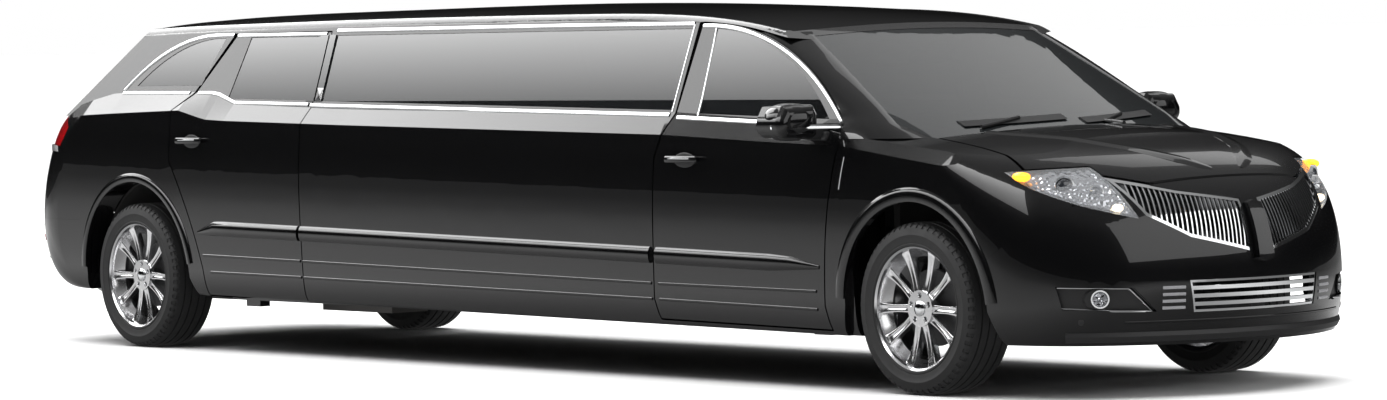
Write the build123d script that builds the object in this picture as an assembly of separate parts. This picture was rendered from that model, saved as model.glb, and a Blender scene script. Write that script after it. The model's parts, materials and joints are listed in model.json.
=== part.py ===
from build123d import *
from math import sqrt
import os

# Driving dimensions in millimetres, X forward, Y left, Z up, ground at zero
wheelbase = 6043
front_overhang = 1165
rear_overhang = 1240
body_half_width = 965
track = 1656
length = wheelbase + front_overhang + rear_overhang
front_axle_x = length / 2 - front_overhang
rear_axle_x = front_axle_x - wheelbase

# Wheels and tyres
tyre_radius = 368.5
tyre_width = 255
rim_radius = 268
rim_width = 228
spoke_count = 10
axle_height = tyre_radius
hub_radius = 72
disc_radius = 165
disc_thickness = 26
front_arch_radius = 455
rear_arch_radius = 480
well_inner_y = 482
kingpin_y = 745

# Panel thicknesses and gaps
door_thickness = 112
frame_thickness = 38
skin_thickness = 26
glass_thickness = 5
glass_set_back = 3
glass_clearance = 0.5
panel_gap = 8
seam = 0.6
floor_top = 330
floor_thickness = 60
sill_inner_y = 740
handle_length = 220

# Jacking pads under the sills
jack_pad_front = 760
jack_pad_rear = 860
jack_pad_y = 786
jack_pad_z = 226

# Plan radii of the nose and the tail
nose_bow_radius = 1150
nose_corner_radius = 600
tail_bow_radius = 3000
tail_corner_radius = 450

# Body side, level by level: height at the front axle, rise per metre to the rear,
# half width, nose ahead of the front axle, tail behind the rear axle
body_levels = [
    (232, 8, body_half_width - 60, front_overhang - 65, rear_overhang - 260),
    (330, 10, body_half_width - 20, front_overhang - 40, rear_overhang - 65),
    (500, 14, body_half_width - 9, front_overhang - 25, rear_overhang - 2),
    (720, 18, body_half_width, front_overhang - 60, rear_overhang - 45),
    (930, 21, body_half_width - 5, front_overhang - 193, rear_overhang - 150),
    (1040, 22, body_half_width - 15, front_overhang - 425, rear_overhang - 265),
    (1175, 24, body_half_width - 27, front_overhang - 781, rear_overhang - 418),
]

# Shoulder crease: distance from the axle, height, half width, rise and draw-in up to the belt
shoulder_front_stations = [
    (620, 985, body_half_width - 131, 70, 50),
    (520, 975, body_half_width - 71, 70, 50),
    (400, 962, body_half_width - 27, 70, 50),
    (238, 977, body_half_width - 12, 70, 50),
    (-460, 1050, body_half_width - 12, 83, 41),
    (-1020, 1067, body_half_width - 12, 108, 54),
    (-1710, 1094, body_half_width - 12, 112, 64),
]
shoulder_rear_stations = [
    (1833, 1138, body_half_width - 12, 81, 68),
    (823, 1158, body_half_width - 12, 92, 78),
    (663, 1163, body_half_width - 12, 125, 90),
    (600, 1172, body_half_width - 12, 129, 93),
    (413, 1209, body_half_width - 13, 94, 92),
    (-219, 1194, body_half_width - 13, 109, 93),
    (-475, 1187, body_half_width - 13, 61, 52),
    (-620, 1187, body_half_width - 38, 61, 52),
    (-720, 1190, body_half_width - 85, 61, 52),
    (-800, 1205, body_half_width - 152, 61, 52),
    (-860, 1242, body_half_width - 223, 61, 52),
]
shoulder_reach = 1.2

# Bonnet surface: distance from the front axle, height on the centre line, fall at 900 from it
bonnet_stations = [
    (-950, 1262, 85),
    (-500, 1190, 75),
    (0, 1133, 75),
    (600, 1067, 102),
    (900, 990, 120),
    (1300, 860, 160),
]

# Roof: distance from the front axle, height of the side rail, of its upper edge, of the crown
belt_height = 1220
belt_half_width = 885
tumblehome = 0.316
rail_round = 60
roof_front_stations = [
    (200, 1230, 1255, 1330),
    (-500, 1400, 1425, 1500),
    (-1100, 1545, 1568, 1600),
    (-1700, 1606, 1634, 1656),
    (-3100, 1616, 1656, 1703),
]
roof_rear_stations = [
    (1643, 1612, 1653, 1700),
    (440, 1603, 1642, 1690),
    (-300, 1580, 1622, 1666),
    (-1200, 1500, 1535, 1600),
]

# Windscreen and tailgate surfaces in plan: height, centre, sweep back at 1000 from the centre
screen_low = (1000, 290, 420)
screen_high = (1800, -1440, 140)
tailgate_low = (1000, -1250, 300)
tailgate_high = (1800, 20, 260)

far = 1400
high = 2200


def f(x, z):
    """Side-view point measured from the front axle."""
    return (front_axle_x + x, z)


def r(x, z):
    """Side-view point measured from the rear axle."""
    return (rear_axle_x + x, z)


def outline(*path):
    """Closed face from points; a pair of points in a list is an arc through the first to the second."""
    edges = []
    start = path[0]
    here = start
    for step in path[1:] + (start,):
        if isinstance(step, list):
            edges.append(ThreePointArc(here, step[0], step[1]))
            here = step[1]
        else:
            if (here[0] - step[0]) ** 2 + (here[1] - step[1]) ** 2 > 1e-6:
                edges.append(Line(here, step))
            here = step
    return make_face(Wire(edges))


def offset_face(face, amount):
    return offset(face, amount=amount, kind=Kind.ARC)


def side_prism(face, y_from, y_to):
    """Face drawn in side view, extruded across the car."""
    low, high_y = min(y_from, y_to), max(y_from, y_to)
    standing = Plane(origin=(0, high_y, 0), x_dir=(1, 0, 0), z_dir=(0, -1, 0)) * face
    return extrude(standing, amount=high_y - low, dir=(0, -1, 0))


def front_prism(face, x_from, x_to):
    """Face drawn in front view (y, z), extruded along the car."""
    standing = Plane(origin=(x_from, 0, 0), x_dir=(0, 1, 0), z_dir=(1, 0, 0)) * face
    return extrude(standing, amount=x_to - x_from, dir=(1, 0, 0))


def plan_prism(face, z_from, z_to):
    """Face drawn in plan (x, y), extruded upwards."""
    return Pos(0, 0, z_from) * extrude(face, amount=z_to - z_from, dir=(0, 0, 1))


def block(x0, x1, y0, y1, z0, z1):
    return Pos((x0 + x1) / 2, (y0 + y1) / 2, (z0 + z1) / 2) * Box(
        abs(x1 - x0), abs(y1 - y0), abs(z1 - z0)
    )


def mirrored(shape):
    return mirror(shape, Plane.XZ)


def bow_corner(end, half_width, bow, corner):
    """Centre x of the corner arc and the point where it meets the bow, for an end at +X."""
    reach = sqrt((bow - corner) ** 2 - (half_width - corner) ** 2)
    centre_x = end - bow + reach
    scale = bow / (bow - corner)
    meet = (end - bow + reach * scale, (half_width - corner) * scale)
    return centre_x, meet


def plan_outline(nose, tail, half_width, inset):
    """Plan of the body at one level: bowed nose and tail with round corners."""
    w = half_width - inset
    front_corner = nose_corner_radius - inset
    rear_corner = tail_corner_radius - inset
    fx, front_meet = bow_corner(nose - inset, w, nose_bow_radius - inset, front_corner)
    bx, rear_meet = bow_corner(-tail - inset, w, tail_bow_radius - inset, rear_corner)
    bx = -bx
    rear_meet = (-rear_meet[0], rear_meet[1])

    def on_corner(cx, radius, meet, end_x):
        mx, my = meet[0] - cx, meet[1] - (w - radius)
        ex, ey = end_x - cx, radius
        hx, hy = mx + ex, my + ey
        size = sqrt(hx * hx + hy * hy)
        return (cx + radius * hx / size, w - radius + radius * hy / size)

    fm = on_corner(fx, front_corner, front_meet, fx)
    rm = on_corner(bx, rear_corner, rear_meet, bx)
    edges = [
        ThreePointArc((front_meet[0], -front_meet[1]), (nose - inset, 0), front_meet),
        ThreePointArc(front_meet, fm, (fx, w)),
        Line((fx, w), (bx, w)),
        ThreePointArc((bx, w), rm, rear_meet),
        ThreePointArc(rear_meet, (tail + inset, 0), (rear_meet[0], -rear_meet[1])),
        ThreePointArc((rear_meet[0], -rear_meet[1]), (rm[0], -rm[1]), (bx, -w)),
        Line((bx, -w), (fx, -w)),
        ThreePointArc((fx, -w), (fm[0], -fm[1]), (front_meet[0], -front_meet[1])),
    ]
    return make_face(Wire(edges))


def tub(inset=0):
    """Lower body from sill to belt, drawn in by the inset."""
    faces = []
    for height, rise, half_width, nose, tail in body_levels:
        slope = rise / 1000
        plane = Plane(
            origin=(0, 0, height + slope * front_axle_x), x_dir=(1, 0, -slope), z_dir=(slope, 0, 1)
        )
        faces.append(plane * plan_outline(front_axle_x + nose, rear_axle_x - tail, half_width, inset))
    return loft(faces)


def above_bonnet(drop=0):
    """Space above the bonnet surface, lowered by the drop."""
    faces = []
    for x, centre, fall in bonnet_stations:
        edge = centre - fall * (far / 900) ** 2 - drop
        face = outline((-far, edge), [(0, centre - drop), (far, edge)], (far, high), (-far, high))
        faces.append(Plane(origin=(front_axle_x + x, 0, 0), x_dir=(0, 1, 0), z_dir=(1, 0, 0)) * face)
    return loft(faces)


def shoulder():
    """Space outside the shoulder, from the sharp crease along the side up to the belt."""
    stations = [(front_axle_x + x, *rest) for x, *rest in shoulder_front_stations]
    stations += [(rear_axle_x + x, *rest) for x, *rest in shoulder_rear_stations]
    faces = []
    for x, z, y, rise, draw_in in stations:
        top = (y - draw_in * (1 + shoulder_reach), z + rise * (1 + shoulder_reach))
        foot = (y + draw_in, z - rise)
        face = outline(top, foot, (foot[0], top[1]))
        faces.append(Plane(origin=(x, 0, 0), x_dir=(0, 1, 0), z_dir=(1, 0, 0)) * face)
    return loft(faces, ruled=True)


def tail_deck():
    """Space above the ledge under the rear window."""
    return side_prism(
        outline(r(-219, 1318), r(-600, 1242), r(-1400, 1226), r(-1400, 1500), r(-219, 1500)), -far, far
    )


def upper_half_width(z):
    return belt_half_width - tumblehome * (z - belt_height)


def roof_section(x, rail, shoulder, crown, inset):
    """Cross section of the upper body: leaning sides, round rail and crowned roof."""
    low = 1000
    rail, shoulder, crown = rail - inset * 0.5, shoulder - inset, crown - inset
    side_low = upper_half_width(low) - inset
    side_high = upper_half_width(rail) - inset
    inner = side_high - rail_round
    mid = (side_high - rail_round * 0.22, rail + (shoulder - rail) * 0.62)
    face = outline(
        (side_low, low),
        (side_high, rail),
        [mid, (inner, shoulder)],
        [(0, crown), (-inner, shoulder)],
        [(-mid[0], mid[1]), (-side_high, rail)],
        (-side_low, low),
    )
    return Plane(origin=(x, 0, 0), x_dir=(0, 1, 0), z_dir=(1, 0, 0)) * face


def upper_sides(inset=0):
    faces = [roof_section(front_axle_x + x, a, b, c, inset) for x, a, b, c in roof_front_stations]
    faces += [roof_section(rear_axle_x + x, a, b, c, inset) for x, a, b, c in roof_rear_stations]
    return loft(faces)


def upper_ends(inset=0):
    """Windscreen and tailgate surfaces, bowed in plan, as one solid between them."""
    faces = []
    for screen, tailgate in ((screen_low, tailgate_low), (screen_high, tailgate_high)):
        front = front_axle_x + screen[1] - inset
        rear = rear_axle_x + tailgate[1] + inset
        edge_front = front - screen[2]
        edge_rear = rear + tailgate[2]
        face = outline(
            (edge_front, -1000),
            [(front, 0), (edge_front, 1000)],
            (edge_rear, 1000),
            [(rear, 0), (edge_rear, -1000)],
        )
        faces.append(Pos(0, 0, screen[0]) * face)
    return loft(faces, ruled=True)


def upper_body(inset=0, end_inset=None):
    return upper_sides(inset) & upper_ends(inset if end_inset is None else end_inset)


def arch(axle_x, radius, front_foot, rear_foot):
    """Side view of a wheel opening: round above the axle, spread below it."""
    z = axle_height
    return outline(
        (axle_x + radius, z),
        [(axle_x, z + radius), (axle_x - radius, z)],
        (axle_x - rear_foot, 100),
        (axle_x + front_foot, 100),
    )


def shapes():
    """The shared volumes that the panels are cut from."""
    made = {}
    crease = shoulder()
    lower = tub() - [above_bonnet(), crease, mirrored(crease), tail_deck()]
    made["lower"] = lower
    made["outer"] = lower + upper_body()
    inner_low = tub(door_thickness) & block(
        rear_axle_x - rear_overhang, front_axle_x - 420, -far, far, floor_top, 1200
    )
    inner_high = upper_body(frame_thickness, frame_thickness + 25) & block(
        rear_axle_x - rear_overhang, front_axle_x + 400, -far, far, 1150, high
    )
    made["cabin"] = inner_low + inner_high
    made["tub_lamp"] = tub(tail_lamp_depth)
    core_crease = Pos(0, -door_band * 0.8, -door_band * 0.6) * crease
    core_room = block(rear_axle_x + 300, front_axle_x - 300, 300, far, 200, high)
    made["core"] = ((tub(door_band) & core_room) - core_crease) + (upper_body(door_band) & core_room)
    made["front_arches"] = side_prism(
        arch(front_axle_x, front_arch_radius, 580, 505), well_inner_y, far
    )
    made["rear_arches"] = side_prism(
        arch(rear_axle_x, rear_arch_radius, 640, 545), well_inner_y, far
    )
    return made


# Hinge leaves that carry the doors on their pillars
hinge_gap = 0.3
hinge_y = (872, 916)
hinge_heights = (470, 900)

# Side-view outlines of the doors, their openings and the side windows
door_step = 18
door_band = 28
door_sweep_room = 22


def front_door_side(gap=0, room=0):
    """Front door in side view; the room widens the opening at the rear upper edge."""
    face = outline(
        f(-565, 262), f(-592, 364), [f(-556, 720), f(-486, 1055)], f(-474, 1140),
        [f(-905, 1447), f(-1605 - room, 1597)], f(-1655 - room * 0.2, 1195), f(-1742, 1000),
        [f(-1756, 640), f(-1772, 364)], f(-1745, 276),
    )
    return offset_face(face, gap) if gap else face


def rear_door_side(gap=0, room=0):
    """Rear door in side view, cut back round the wheel arch."""
    face = outline(
        r(1490, 275), r(1500, 1200), r(1530, 1593), r(715 - room, 1590), r(450 - room * 0.5, 1290),
        r(352, 1210), r(348, 960), [r(450, 800), r(612, 420)], r(632, 284),
    )
    return offset_face(face, gap) if gap else face


front_door_window = outline(
    f(-590, 1172),
    [f(-960, 1437), f(-1508, 1576)],
    f(-1500, 1196),
)
rear_door_window = outline(r(1448, 1262), r(1468, 1574), r(838, 1578), r(755, 1272))
stretch_window = outline(f(-1700, 1212), f(-1672, 1576), r(1575, 1578), r(1550, 1258))
quarter_window = outline(
    r(480, 1338), r(610, 1574), [r(290, 1538), r(-108, 1338)],
)



def near_zone(x0, x1, low=0, top=high):
    """Box across the car between two distances from the front axle."""
    return block(front_axle_x + x0, front_axle_x + x1, -far, far, low, top)


def largest(shape):
    return max(shape.solids(), key=lambda s: s.volume)


# Lines that split the nose: lamps, bonnet, bumper, grilles and fog pockets
bonnet_rear = -55
bonnet_half_width = 742
lamp_side = outline(
    f(500, 950), f(800, 968), f(1180, 925), f(1180, 722), f(975, 742), f(790, 812), f(620, 884)
)
lamp_front = outline((618, 1010), (520, 690), (1000, 690), (1000, 1010))
bumper_side = outline(
    f(400, 60), f(430, 560), f(790, 812), f(800, 1010), f(1300, 1010), f(1300, 60),
)
bonnet_plan = outline(
    f(bonnet_rear, bonnet_half_width), [f(95, 0), f(bonnet_rear, -bonnet_half_width)], f(400, -800),
    f(640, -826), f(800, -700), [f(962, 0), f(800, 700)], f(640, 826), f(400, 800),
)
grille_front = outline((50, 818), (340, 862), (590, 922), (508, 762), (345, 668), (54, 598))
lower_grille_front = outline((-372, 490), (372, 490), (352, 356), (-352, 356))
fog_front = outline((596, 466), (842, 476), (822, 378), (505, 364))
grille_bar_count = 24
grille_bar_pitch = 21
grille_bar_width = 6
grille_bar_lean = 8
grille_frame = 14
lower_bar_count = 3
fog_lamp_radius = 42

# Tailgate outline in front view, its hinge line and the rear bumper line
tailgate_bottom = 655
hinge_line = -215
tailgate_half_width = 640
tailgate_front = outline(
    (-tailgate_half_width, tailgate_bottom), (-tailgate_half_width, high),
    (tailgate_half_width, high), (tailgate_half_width, tailgate_bottom),
)
plate_pocket_width = 330
plate_pocket_height = 180
plate_pocket_z = 790
plate_pocket_depth_x = rear_overhang - 95
plate_hole_rise = 40
plate_hole_spacing = 178
plate_hole_radius = 3.2
bonnet_gap = 11
lamp_clearance = 6
post_proud = 28.1
rear_window_front = outline((-560, 1308), (560, 1308), (498, 1572), (-498, 1572))
tail_lamp_side = outline(r(-620, 1128), r(-690, 1188), r(-1300, 1150), r(-1300, 1040), r(-700, 1030))
tail_lamp_depth = 55


def rail_side():
    """Side view of the roof: everything above the rail line."""
    return outline(
        f(-300, 1400), f(-1100, 1547), [f(-1380, 1590), f(-1700, 1608)], f(-3100, 1618),
        r(440, 1605), r(hinge_line, 1580), r(hinge_line, high), f(-300, high),
    )


def windscreen_zone(shrink=0):
    """Front-view opening of the windscreen, taken back through it."""
    face = outline(
        (-732, 1074), [(0, 1100), (732, 1074)], (806, 1150), (664, 1532),
        [(0, 1556), (-664, 1532)], (-806, 1150),
    )
    if shrink:
        face = offset_face(face, -shrink)
    return front_prism(face, front_axle_x - 1500, front_axle_x + 350)


def rear_bumper_zone(gap=0):
    end = rear_axle_x - rear_overhang - 50
    top = tailgate_bottom - panel_gap - gap
    return side_prism(outline(r(-470, 60), r(-520, top), (end, top), (end, 60)), -far, far)


def tailgate_zone(gap=0):
    face = offset_face(tailgate_front, gap) if gap else tailgate_front
    return front_prism(face, rear_axle_x - rear_overhang - 50, rear_axle_x + hinge_line + gap)


def build_cabin_panels(vol, made):
    """Roof, side frames, doors, fixed side glass, tailgate and rear bumper."""
    tail_x = rear_axle_x - rear_overhang
    split_x = front_axle_x - 420
    tail = (vol["outer"] & block(tail_x - 50, rear_axle_x - 200, -far, far, 0, high)) - vol["cabin"]
    roof_zone = side_prism(rail_side(), -far, far)
    side_zone = block(tail_x - 50, split_x, 480, far, 0, high) + block(
        split_x - 10, front_axle_x - 60, 480, far, 1119, high
    )
    half = (vol["outer"] & side_zone) - vol["cabin"]
    roof = (vol["outer"] & roof_zone) - [vol["cabin"], tailgate_zone(panel_gap), windscreen_zone()]
    made["roof_panel"] = largest(roof)

    lower_lid = block(tail_x, front_axle_x, 0, sill_inner_y + 100, 0, floor_top + 20)
    for name, line, window in (
        ("front", front_door_side, front_door_window),
        ("rear", rear_door_side, rear_door_window),
    ):
        stepped = (side_prism(line(), 480, far) - vol["core"]) + side_prism(line(-door_step), 480, far)
        door = (half & stepped) - lower_lid - side_prism(window, 300, far)
        leaves = side_prism(line(panel_gap - hinge_gap) - line(-door_step - 4), hinge_y[0], hinge_y[1])
        for z in hinge_heights:
            front = max(v.X for v in line().vertices())
            door += leaves & block(front - 400, front + 20, 0, far, z - 30, z + 30)
        if name == "rear":
            door -= vol["rear_arches"]
        made["door_" + name] = largest(door - roof_zone)

    fender_room = fender_zone(seam)
    side = half - [
        side_prism(front_door_side(panel_gap, door_sweep_room), 400, far),
        side_prism(rear_door_side(panel_gap, door_sweep_room), 400, far),
        side_prism(stretch_window, 300, far),
        side_prism(quarter_window, 300, far),
        roof_zone,
        tailgate_zone(panel_gap),
        rear_bumper_zone(-seam),
        windscreen_zone(),
        vol["rear_arches"],
        fender_room,
        block(tail_x, front_axle_x, 0, sill_inner_y, 0, floor_top + 20),
    ]
    side = largest(side)
    sill = block(rear_axle_x + 700, split_x, sill_inner_y, sill_inner_y + 92, 258, floor_top + 12)
    post = block(split_x - 75, split_x, sill_inner_y, sill_inner_y + 110, 258, 1112)
    post = (post & vol["lower"]) - fender_room
    lamp = side & side_prism(tail_lamp_side, 400, far) & (vol["lower"] - vol["tub_lamp"])
    side = side - (side_prism(tail_lamp_side, 400, far) - vol["tub_lamp"])
    for x in (front_axle_x - jack_pad_front, rear_axle_x + jack_pad_rear):
        sill += block(x - 60, x + 60, jack_pad_y - 30, jack_pad_y + 30, jack_pad_z, 300)
    made["tail_lamp"] = largest(lamp)
    made["side_frame"] = largest(side + sill + post)

    gate = (tail & tailgate_zone()) - front_prism(
        rear_window_front, rear_axle_x - 1000, rear_axle_x + hinge_line
    )
    band = side_prism(tail_lamp_side, -far, far) & tailgate_zone(-seam * 10)
    lamp_band = (gate & band) - vol["tub_lamp"]
    gate -= band - vol["tub_lamp"]
    pocket_x = rear_axle_x - plate_pocket_depth_x
    half_w, half_h = plate_pocket_width / 2, plate_pocket_height / 2
    gate -= block(
        tail_x - 50, pocket_x, -half_w, half_w, plate_pocket_z - half_h, plate_pocket_z + half_h
    )
    for y in (-plate_hole_spacing / 2, plate_hole_spacing / 2):
        hole = Cylinder(plate_hole_radius, 30)
        gate -= Pos(pocket_x, y, plate_pocket_z + plate_hole_rise) * Rot(0, 90, 0) * hole
    gate_front = rear_axle_x + hinge_line
    boss = block(gate_front - 4, gate_front + panel_gap - hinge_gap, 380, 440, 1624, 1648)
    gate += boss + mirrored(boss)
    made["tailgate"] = largest(gate)
    made["tailgate_lamp"] = largest(lamp_band)
    bumper = (tail & rear_bumper_zone()) - [vol["rear_arches"], mirrored(vol["rear_arches"])]
    made["rear_bumper"] = largest(bumper)


def fender_zone(gap=0):
    """Outer skin ahead of the front door and below the windscreen pillar."""
    return near_zone(-640 - gap, 1300, 0, 1118 + gap) - (tub(skin_thickness + gap) - above_bonnet(skin_thickness + gap))


def lamp_space(gap):
    """Space of the left headlamp with a gap round it."""
    return side_prism(offset_face(lamp_side, gap), 300, far) & front_prism(
        offset_face(lamp_front, gap), front_axle_x, front_axle_x + 1300
    )


def build_front(vol, made):
    """Fenders, bonnet, bumper, lamps and grilles, all cut from one skin."""
    nose = vol["lower"] & near_zone(-640, 1300)
    whole_skin = nose - (tub(skin_thickness) - above_bonnet(skin_thickness))
    lamp_zone = side_prism(lamp_side, 300, far) & front_prism(lamp_front, front_axle_x, front_axle_x + 1300)
    lamp_gap = lamp_space(seam)
    lamp_room = lamp_space(lamp_clearance)
    x0, x1 = front_axle_x + 300, front_axle_x + 1300
    grille_cut = front_prism(grille_front, x0, x1)
    grille_gap = front_prism(offset_face(grille_front, bonnet_gap), x0, x1)
    bonnet_zone = plan_prism(bonnet_plan, 850, high)
    bonnet_wide = plan_prism(offset_face(bonnet_plan, bonnet_gap), 850, high)
    bumper_zone = side_prism(bumper_side, -far, far)
    bumper_wide = side_prism(offset_face(bumper_side, seam), 300, far)

    bonnet = (whole_skin & bonnet_zone) - [
        lamp_room, mirrored(lamp_room), grille_gap, mirrored(grille_gap)
    ]
    made["hood"] = largest(bonnet)
    inner_edge = bonnet_half_width + bonnet_gap
    left = whole_skin & block(front_axle_x - 640, front_axle_x + 1300, inner_edge, far, 0, 1118)
    door_room = side_prism(front_door_side(panel_gap), 300, far)
    fender = left - [bonnet_wide, lamp_gap, bumper_wide, vol["front_arches"], door_room]
    made["fender"] = largest(fender)
    made["headlamp"] = largest((vol["lower"] & lamp_zone) - tub(130))

    fog_cut = front_prism(fog_front, x0, x1)
    paired = [vol["front_arches"], lamp_gap, grille_cut, fog_cut]
    bumper = (whole_skin & bumper_zone) - [
        *paired, *[mirrored(shape) for shape in paired],
        bonnet_wide, front_prism(lower_grille_front, x0, x1),
    ]
    post_face = outline((-40, 800), (0, 812), (40, 800), (44, 570), (0, 556), (-44, 570))
    post = nose_layer(-post_proud, skin_thickness, -60, 60, 540, 830) & front_prism(post_face, x0, x1)
    made["front_bumper"] = largest(bumper + post)
    made["grille"] = Compound([*upper_grille(x0, x1).solids(), *lower_grille(x0, x1).solids()])
    made["fog_lamps"] = fog_lamps(x0, x1)


def nose_layer(front_inset, back_inset, y0, y1, z0, z1):
    """Piece of the skin between two insets, inside a box at the nose."""
    box = block(front_axle_x + 300, front_axle_x + 1300, y0, y1, z0, z1)
    return (tub(front_inset) & box) - tub(back_inset)


def upper_grille(x0, x1):
    """Two framed halves of fine upright bars beside the plain centre post."""
    whole = front_prism(offset_face(grille_front, -seam), x0, x1)
    ring = whole - front_prism(offset_face(grille_front, -grille_frame), x0, x1)
    bars = [
        Pos(front_axle_x + 900, 62 + index * grille_bar_pitch, 760)
        * Rot(grille_bar_lean, 0, 0)
        * Box(1000, grille_bar_width, 460)
        for index in range(grille_bar_count)
    ]
    frame = nose_layer(3, 40, 0, 700, 560, 960) & ring
    slats = (nose_layer(10, 32, 0, 700, 560, 960) & whole) & Compound(bars)
    half = frame + slats
    return Compound([half, mirrored(half)])


def lower_grille(x0, x1):
    whole = front_prism(offset_face(lower_grille_front, -seam), x0, x1)
    ring = whole - front_prism(offset_face(lower_grille_front, -10), x0, x1)
    bars = [
        Pos(front_axle_x + 1000, 0, 356 + 134 * (index + 1) / (lower_bar_count + 1)) * Box(600, 760, 16)
        for index in range(lower_bar_count)
    ]
    layer = nose_layer(4, 34, -400, 400, 340, 500)
    return (layer & ring) + (layer & whole & Compound(bars))


def fog_lamps(x0, x1):
    """Pocket liners with a round lamp in each."""
    whole = front_prism(offset_face(fog_front, -seam), x0, x1)
    liner = nose_layer(20, 48, 450, 900, 340, 500) & whole
    lamp = Pos(front_axle_x + 830, 712, 421) * Rot(0, 90, 0) * Cylinder(fog_lamp_radius, 500)
    lamp = nose_layer(8, 30, 600, 800, 370, 470) & lamp
    half = liner + lamp
    return Compound([half, mirrored(half)])


def build_glass(made):
    """Windscreen, rear window and side panes, a little under the skin."""
    layer = upper_ends(glass_set_back) - upper_ends(glass_set_back + glass_thickness)
    inside = upper_sides(glass_set_back + glass_thickness)
    made["windshield"] = largest(layer & windscreen_zone(glass_clearance) & inside)
    rear_face = offset_face(rear_window_front, -glass_clearance)
    made["rear_glass"] = largest(
        layer & front_prism(rear_face, rear_axle_x - 1000, rear_axle_x + hinge_line)
    )
    side_layer = upper_sides(glass_set_back) - upper_sides(glass_set_back + glass_thickness)
    panes = {}
    for name, window in (
        ("front", front_door_window), ("rear", rear_door_window),
        ("stretch", stretch_window), ("quarter", quarter_window),
    ):
        panes[name] = largest(side_layer & side_prism(offset_face(window, -glass_clearance), 300, far))
    made["glass_front"] = panes["front"]
    made["glass_rear"] = panes["rear"]
    made["side_glass"] = Compound(
        [panes["stretch"], panes["quarter"], mirrored(panes["stretch"]), mirrored(panes["quarter"])]
    )


def ring_of(points, x, y):
    """Body of revolution about a line across the car, from (distance along it, radius) points."""
    face = outline(*points)
    turned = revolve(face, Axis.X, 360)
    return Pos(x, y, axle_height) * Rot(0, 0, 90) * turned


def tyre(x, side):
    half = tyre_width / 2
    seat = rim_radius - 10
    points = [
        (-95, tyre_radius), (95, tyre_radius), (half - 4, tyre_radius - 20), (half - 15, seat),
        (-half + 15, seat), (-half + 4, tyre_radius - 20),
    ]
    return ring_of(points, x, side * track / 2)


def rim(x, side):
    """Wheel with a drop-centre barrel, ten tapered spokes and a round hub."""
    half = rim_width / 2
    seat = rim_radius - 10.3
    barrel = ring_of(
        [(-half, seat - 16), (-half, seat), (half, seat), (half, rim_radius - 4), (half + 8, rim_radius - 4),
         (half + 8, seat - 14), (half - 60, seat - 30)],
        0, 0,
    )
    face_y = 84
    hub = ring_of([(50, 0), (50, hub_radius), (face_y, hub_radius), (face_y + 10, 34), (face_y + 10, 0)], 0, 0)
    spokes = []
    spoke = outline((-27, hub_radius - 12), (-17, seat - 10), (17, seat - 10), (27, hub_radius - 12))
    for index in range(spoke_count):
        flat = extrude(spoke, amount=26, dir=(0, 0, 1))
        stood = Rot(-90, 0, 0) * Pos(0, 0, 68) * flat
        spokes.append(Pos(0, 0, axle_height) * Rot(0, index * 360 / spoke_count, 0) * Pos(0, 0, 0) * stood)
    wheel = barrel + hub
    for shape in spokes:
        wheel = wheel + shape
    if side < 0:
        wheel = mirrored(wheel)
    return Pos(x, side * track / 2, 0) * wheel


def across(x, z, radius, y0, y1):
    """Round bar across the car."""
    return Pos(x, (y0 + y1) / 2, z) * Rot(90, 0, 0) * Cylinder(radius, abs(y1 - y0))


def upright(x, y, radius, z0, z1):
    return Pos(x, y, (z0 + z1) / 2) * Cylinder(radius, z1 - z0)


def knuckle(side):
    """Steered hub carrier with its brake disc and ball-joint lugs."""
    hub_y = track / 2 + 50
    shape = across(front_axle_x, axle_height, 45, 720, hub_y - 0.4)
    shape += across(front_axle_x, axle_height, disc_radius, hub_y - 60, hub_y - 60 + disc_thickness)
    shape += block(front_axle_x - 24, front_axle_x + 24, 722, 770, 290, 545)
    shape += block(front_axle_x - 24, front_axle_x + 24, 620, 770, 545, 569)
    return shape if side > 0 else mirrored(shape)


def build_running_gear(made):
    for end, x in (("front", front_axle_x), ("rear", rear_axle_x)):
        for name, side in (("left", 1), ("right", -1)):
            made[f"tyre_{end}_{name}"] = tyre(x, side)
            made[f"rim_{end}_{name}"] = rim(x, side)
    made["knuckle_left"] = knuckle(1)
    made["knuckle_right"] = knuckle(-1)

    beam = block(front_axle_x - 70, front_axle_x + 70, -420, 420, 235, 300)
    for side in (1, -1):
        arm = block(front_axle_x - 40, front_axle_x + 40, side * 400, side * 768, 250, 289.7)
        rail = block(front_axle_x - 379.7, front_axle_x + 700, side * 360, side * 440, 272, 355)
        strut = upright(front_axle_x, side * 640, 22, 569.3, 800)
        tower = block(front_axle_x - 60, front_axle_x + 60, side * 470, side * 700, 785, 815)
        inner = block(front_axle_x - 60, front_axle_x + 60, side * 425, side * 475, 340, 815)
        beam = beam + arm + rail + strut + tower + inner
    made["front_subframe"] = beam

    hub_y = track / 2 + 50
    axle = across(rear_axle_x, axle_height, 42, -hub_y + 0.4, hub_y - 0.4)
    axle += block(rear_axle_x - 130, rear_axle_x + 130, -150, 150, 260, 470)
    for side in (1, -1):
        axle += across(rear_axle_x, axle_height, disc_radius, side * (hub_y - 60), side * (hub_y - 34))
        axle += upright(rear_axle_x, side * 400, 50, axle_height, 639.7)
        axle += block(rear_axle_x, rear_axle_x + 610, side * 400, side * 450, 320, 370)
    made["rear_subframe"] = axle

    made["engine_block"] = block(front_axle_x - 330, front_axle_x + 380, -340, 340, 300.3, 850)

    pipe_z, pipe_r = 238, 28
    pipes = []
    for side in (1, -1):
        run = Pos((front_axle_x - 600 + rear_axle_x - 1050) / 2, side * 300, pipe_z)
        pipe = run * Rot(0, 90, 0) * Cylinder(pipe_r, wheelbase + 450)
        box = block(rear_axle_x + 900, rear_axle_x + 1500, side * 200, side * 420, 190, 269.7)
        pipes.append(pipe + box)
    made["exhaust"] = Compound(pipes)


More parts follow.
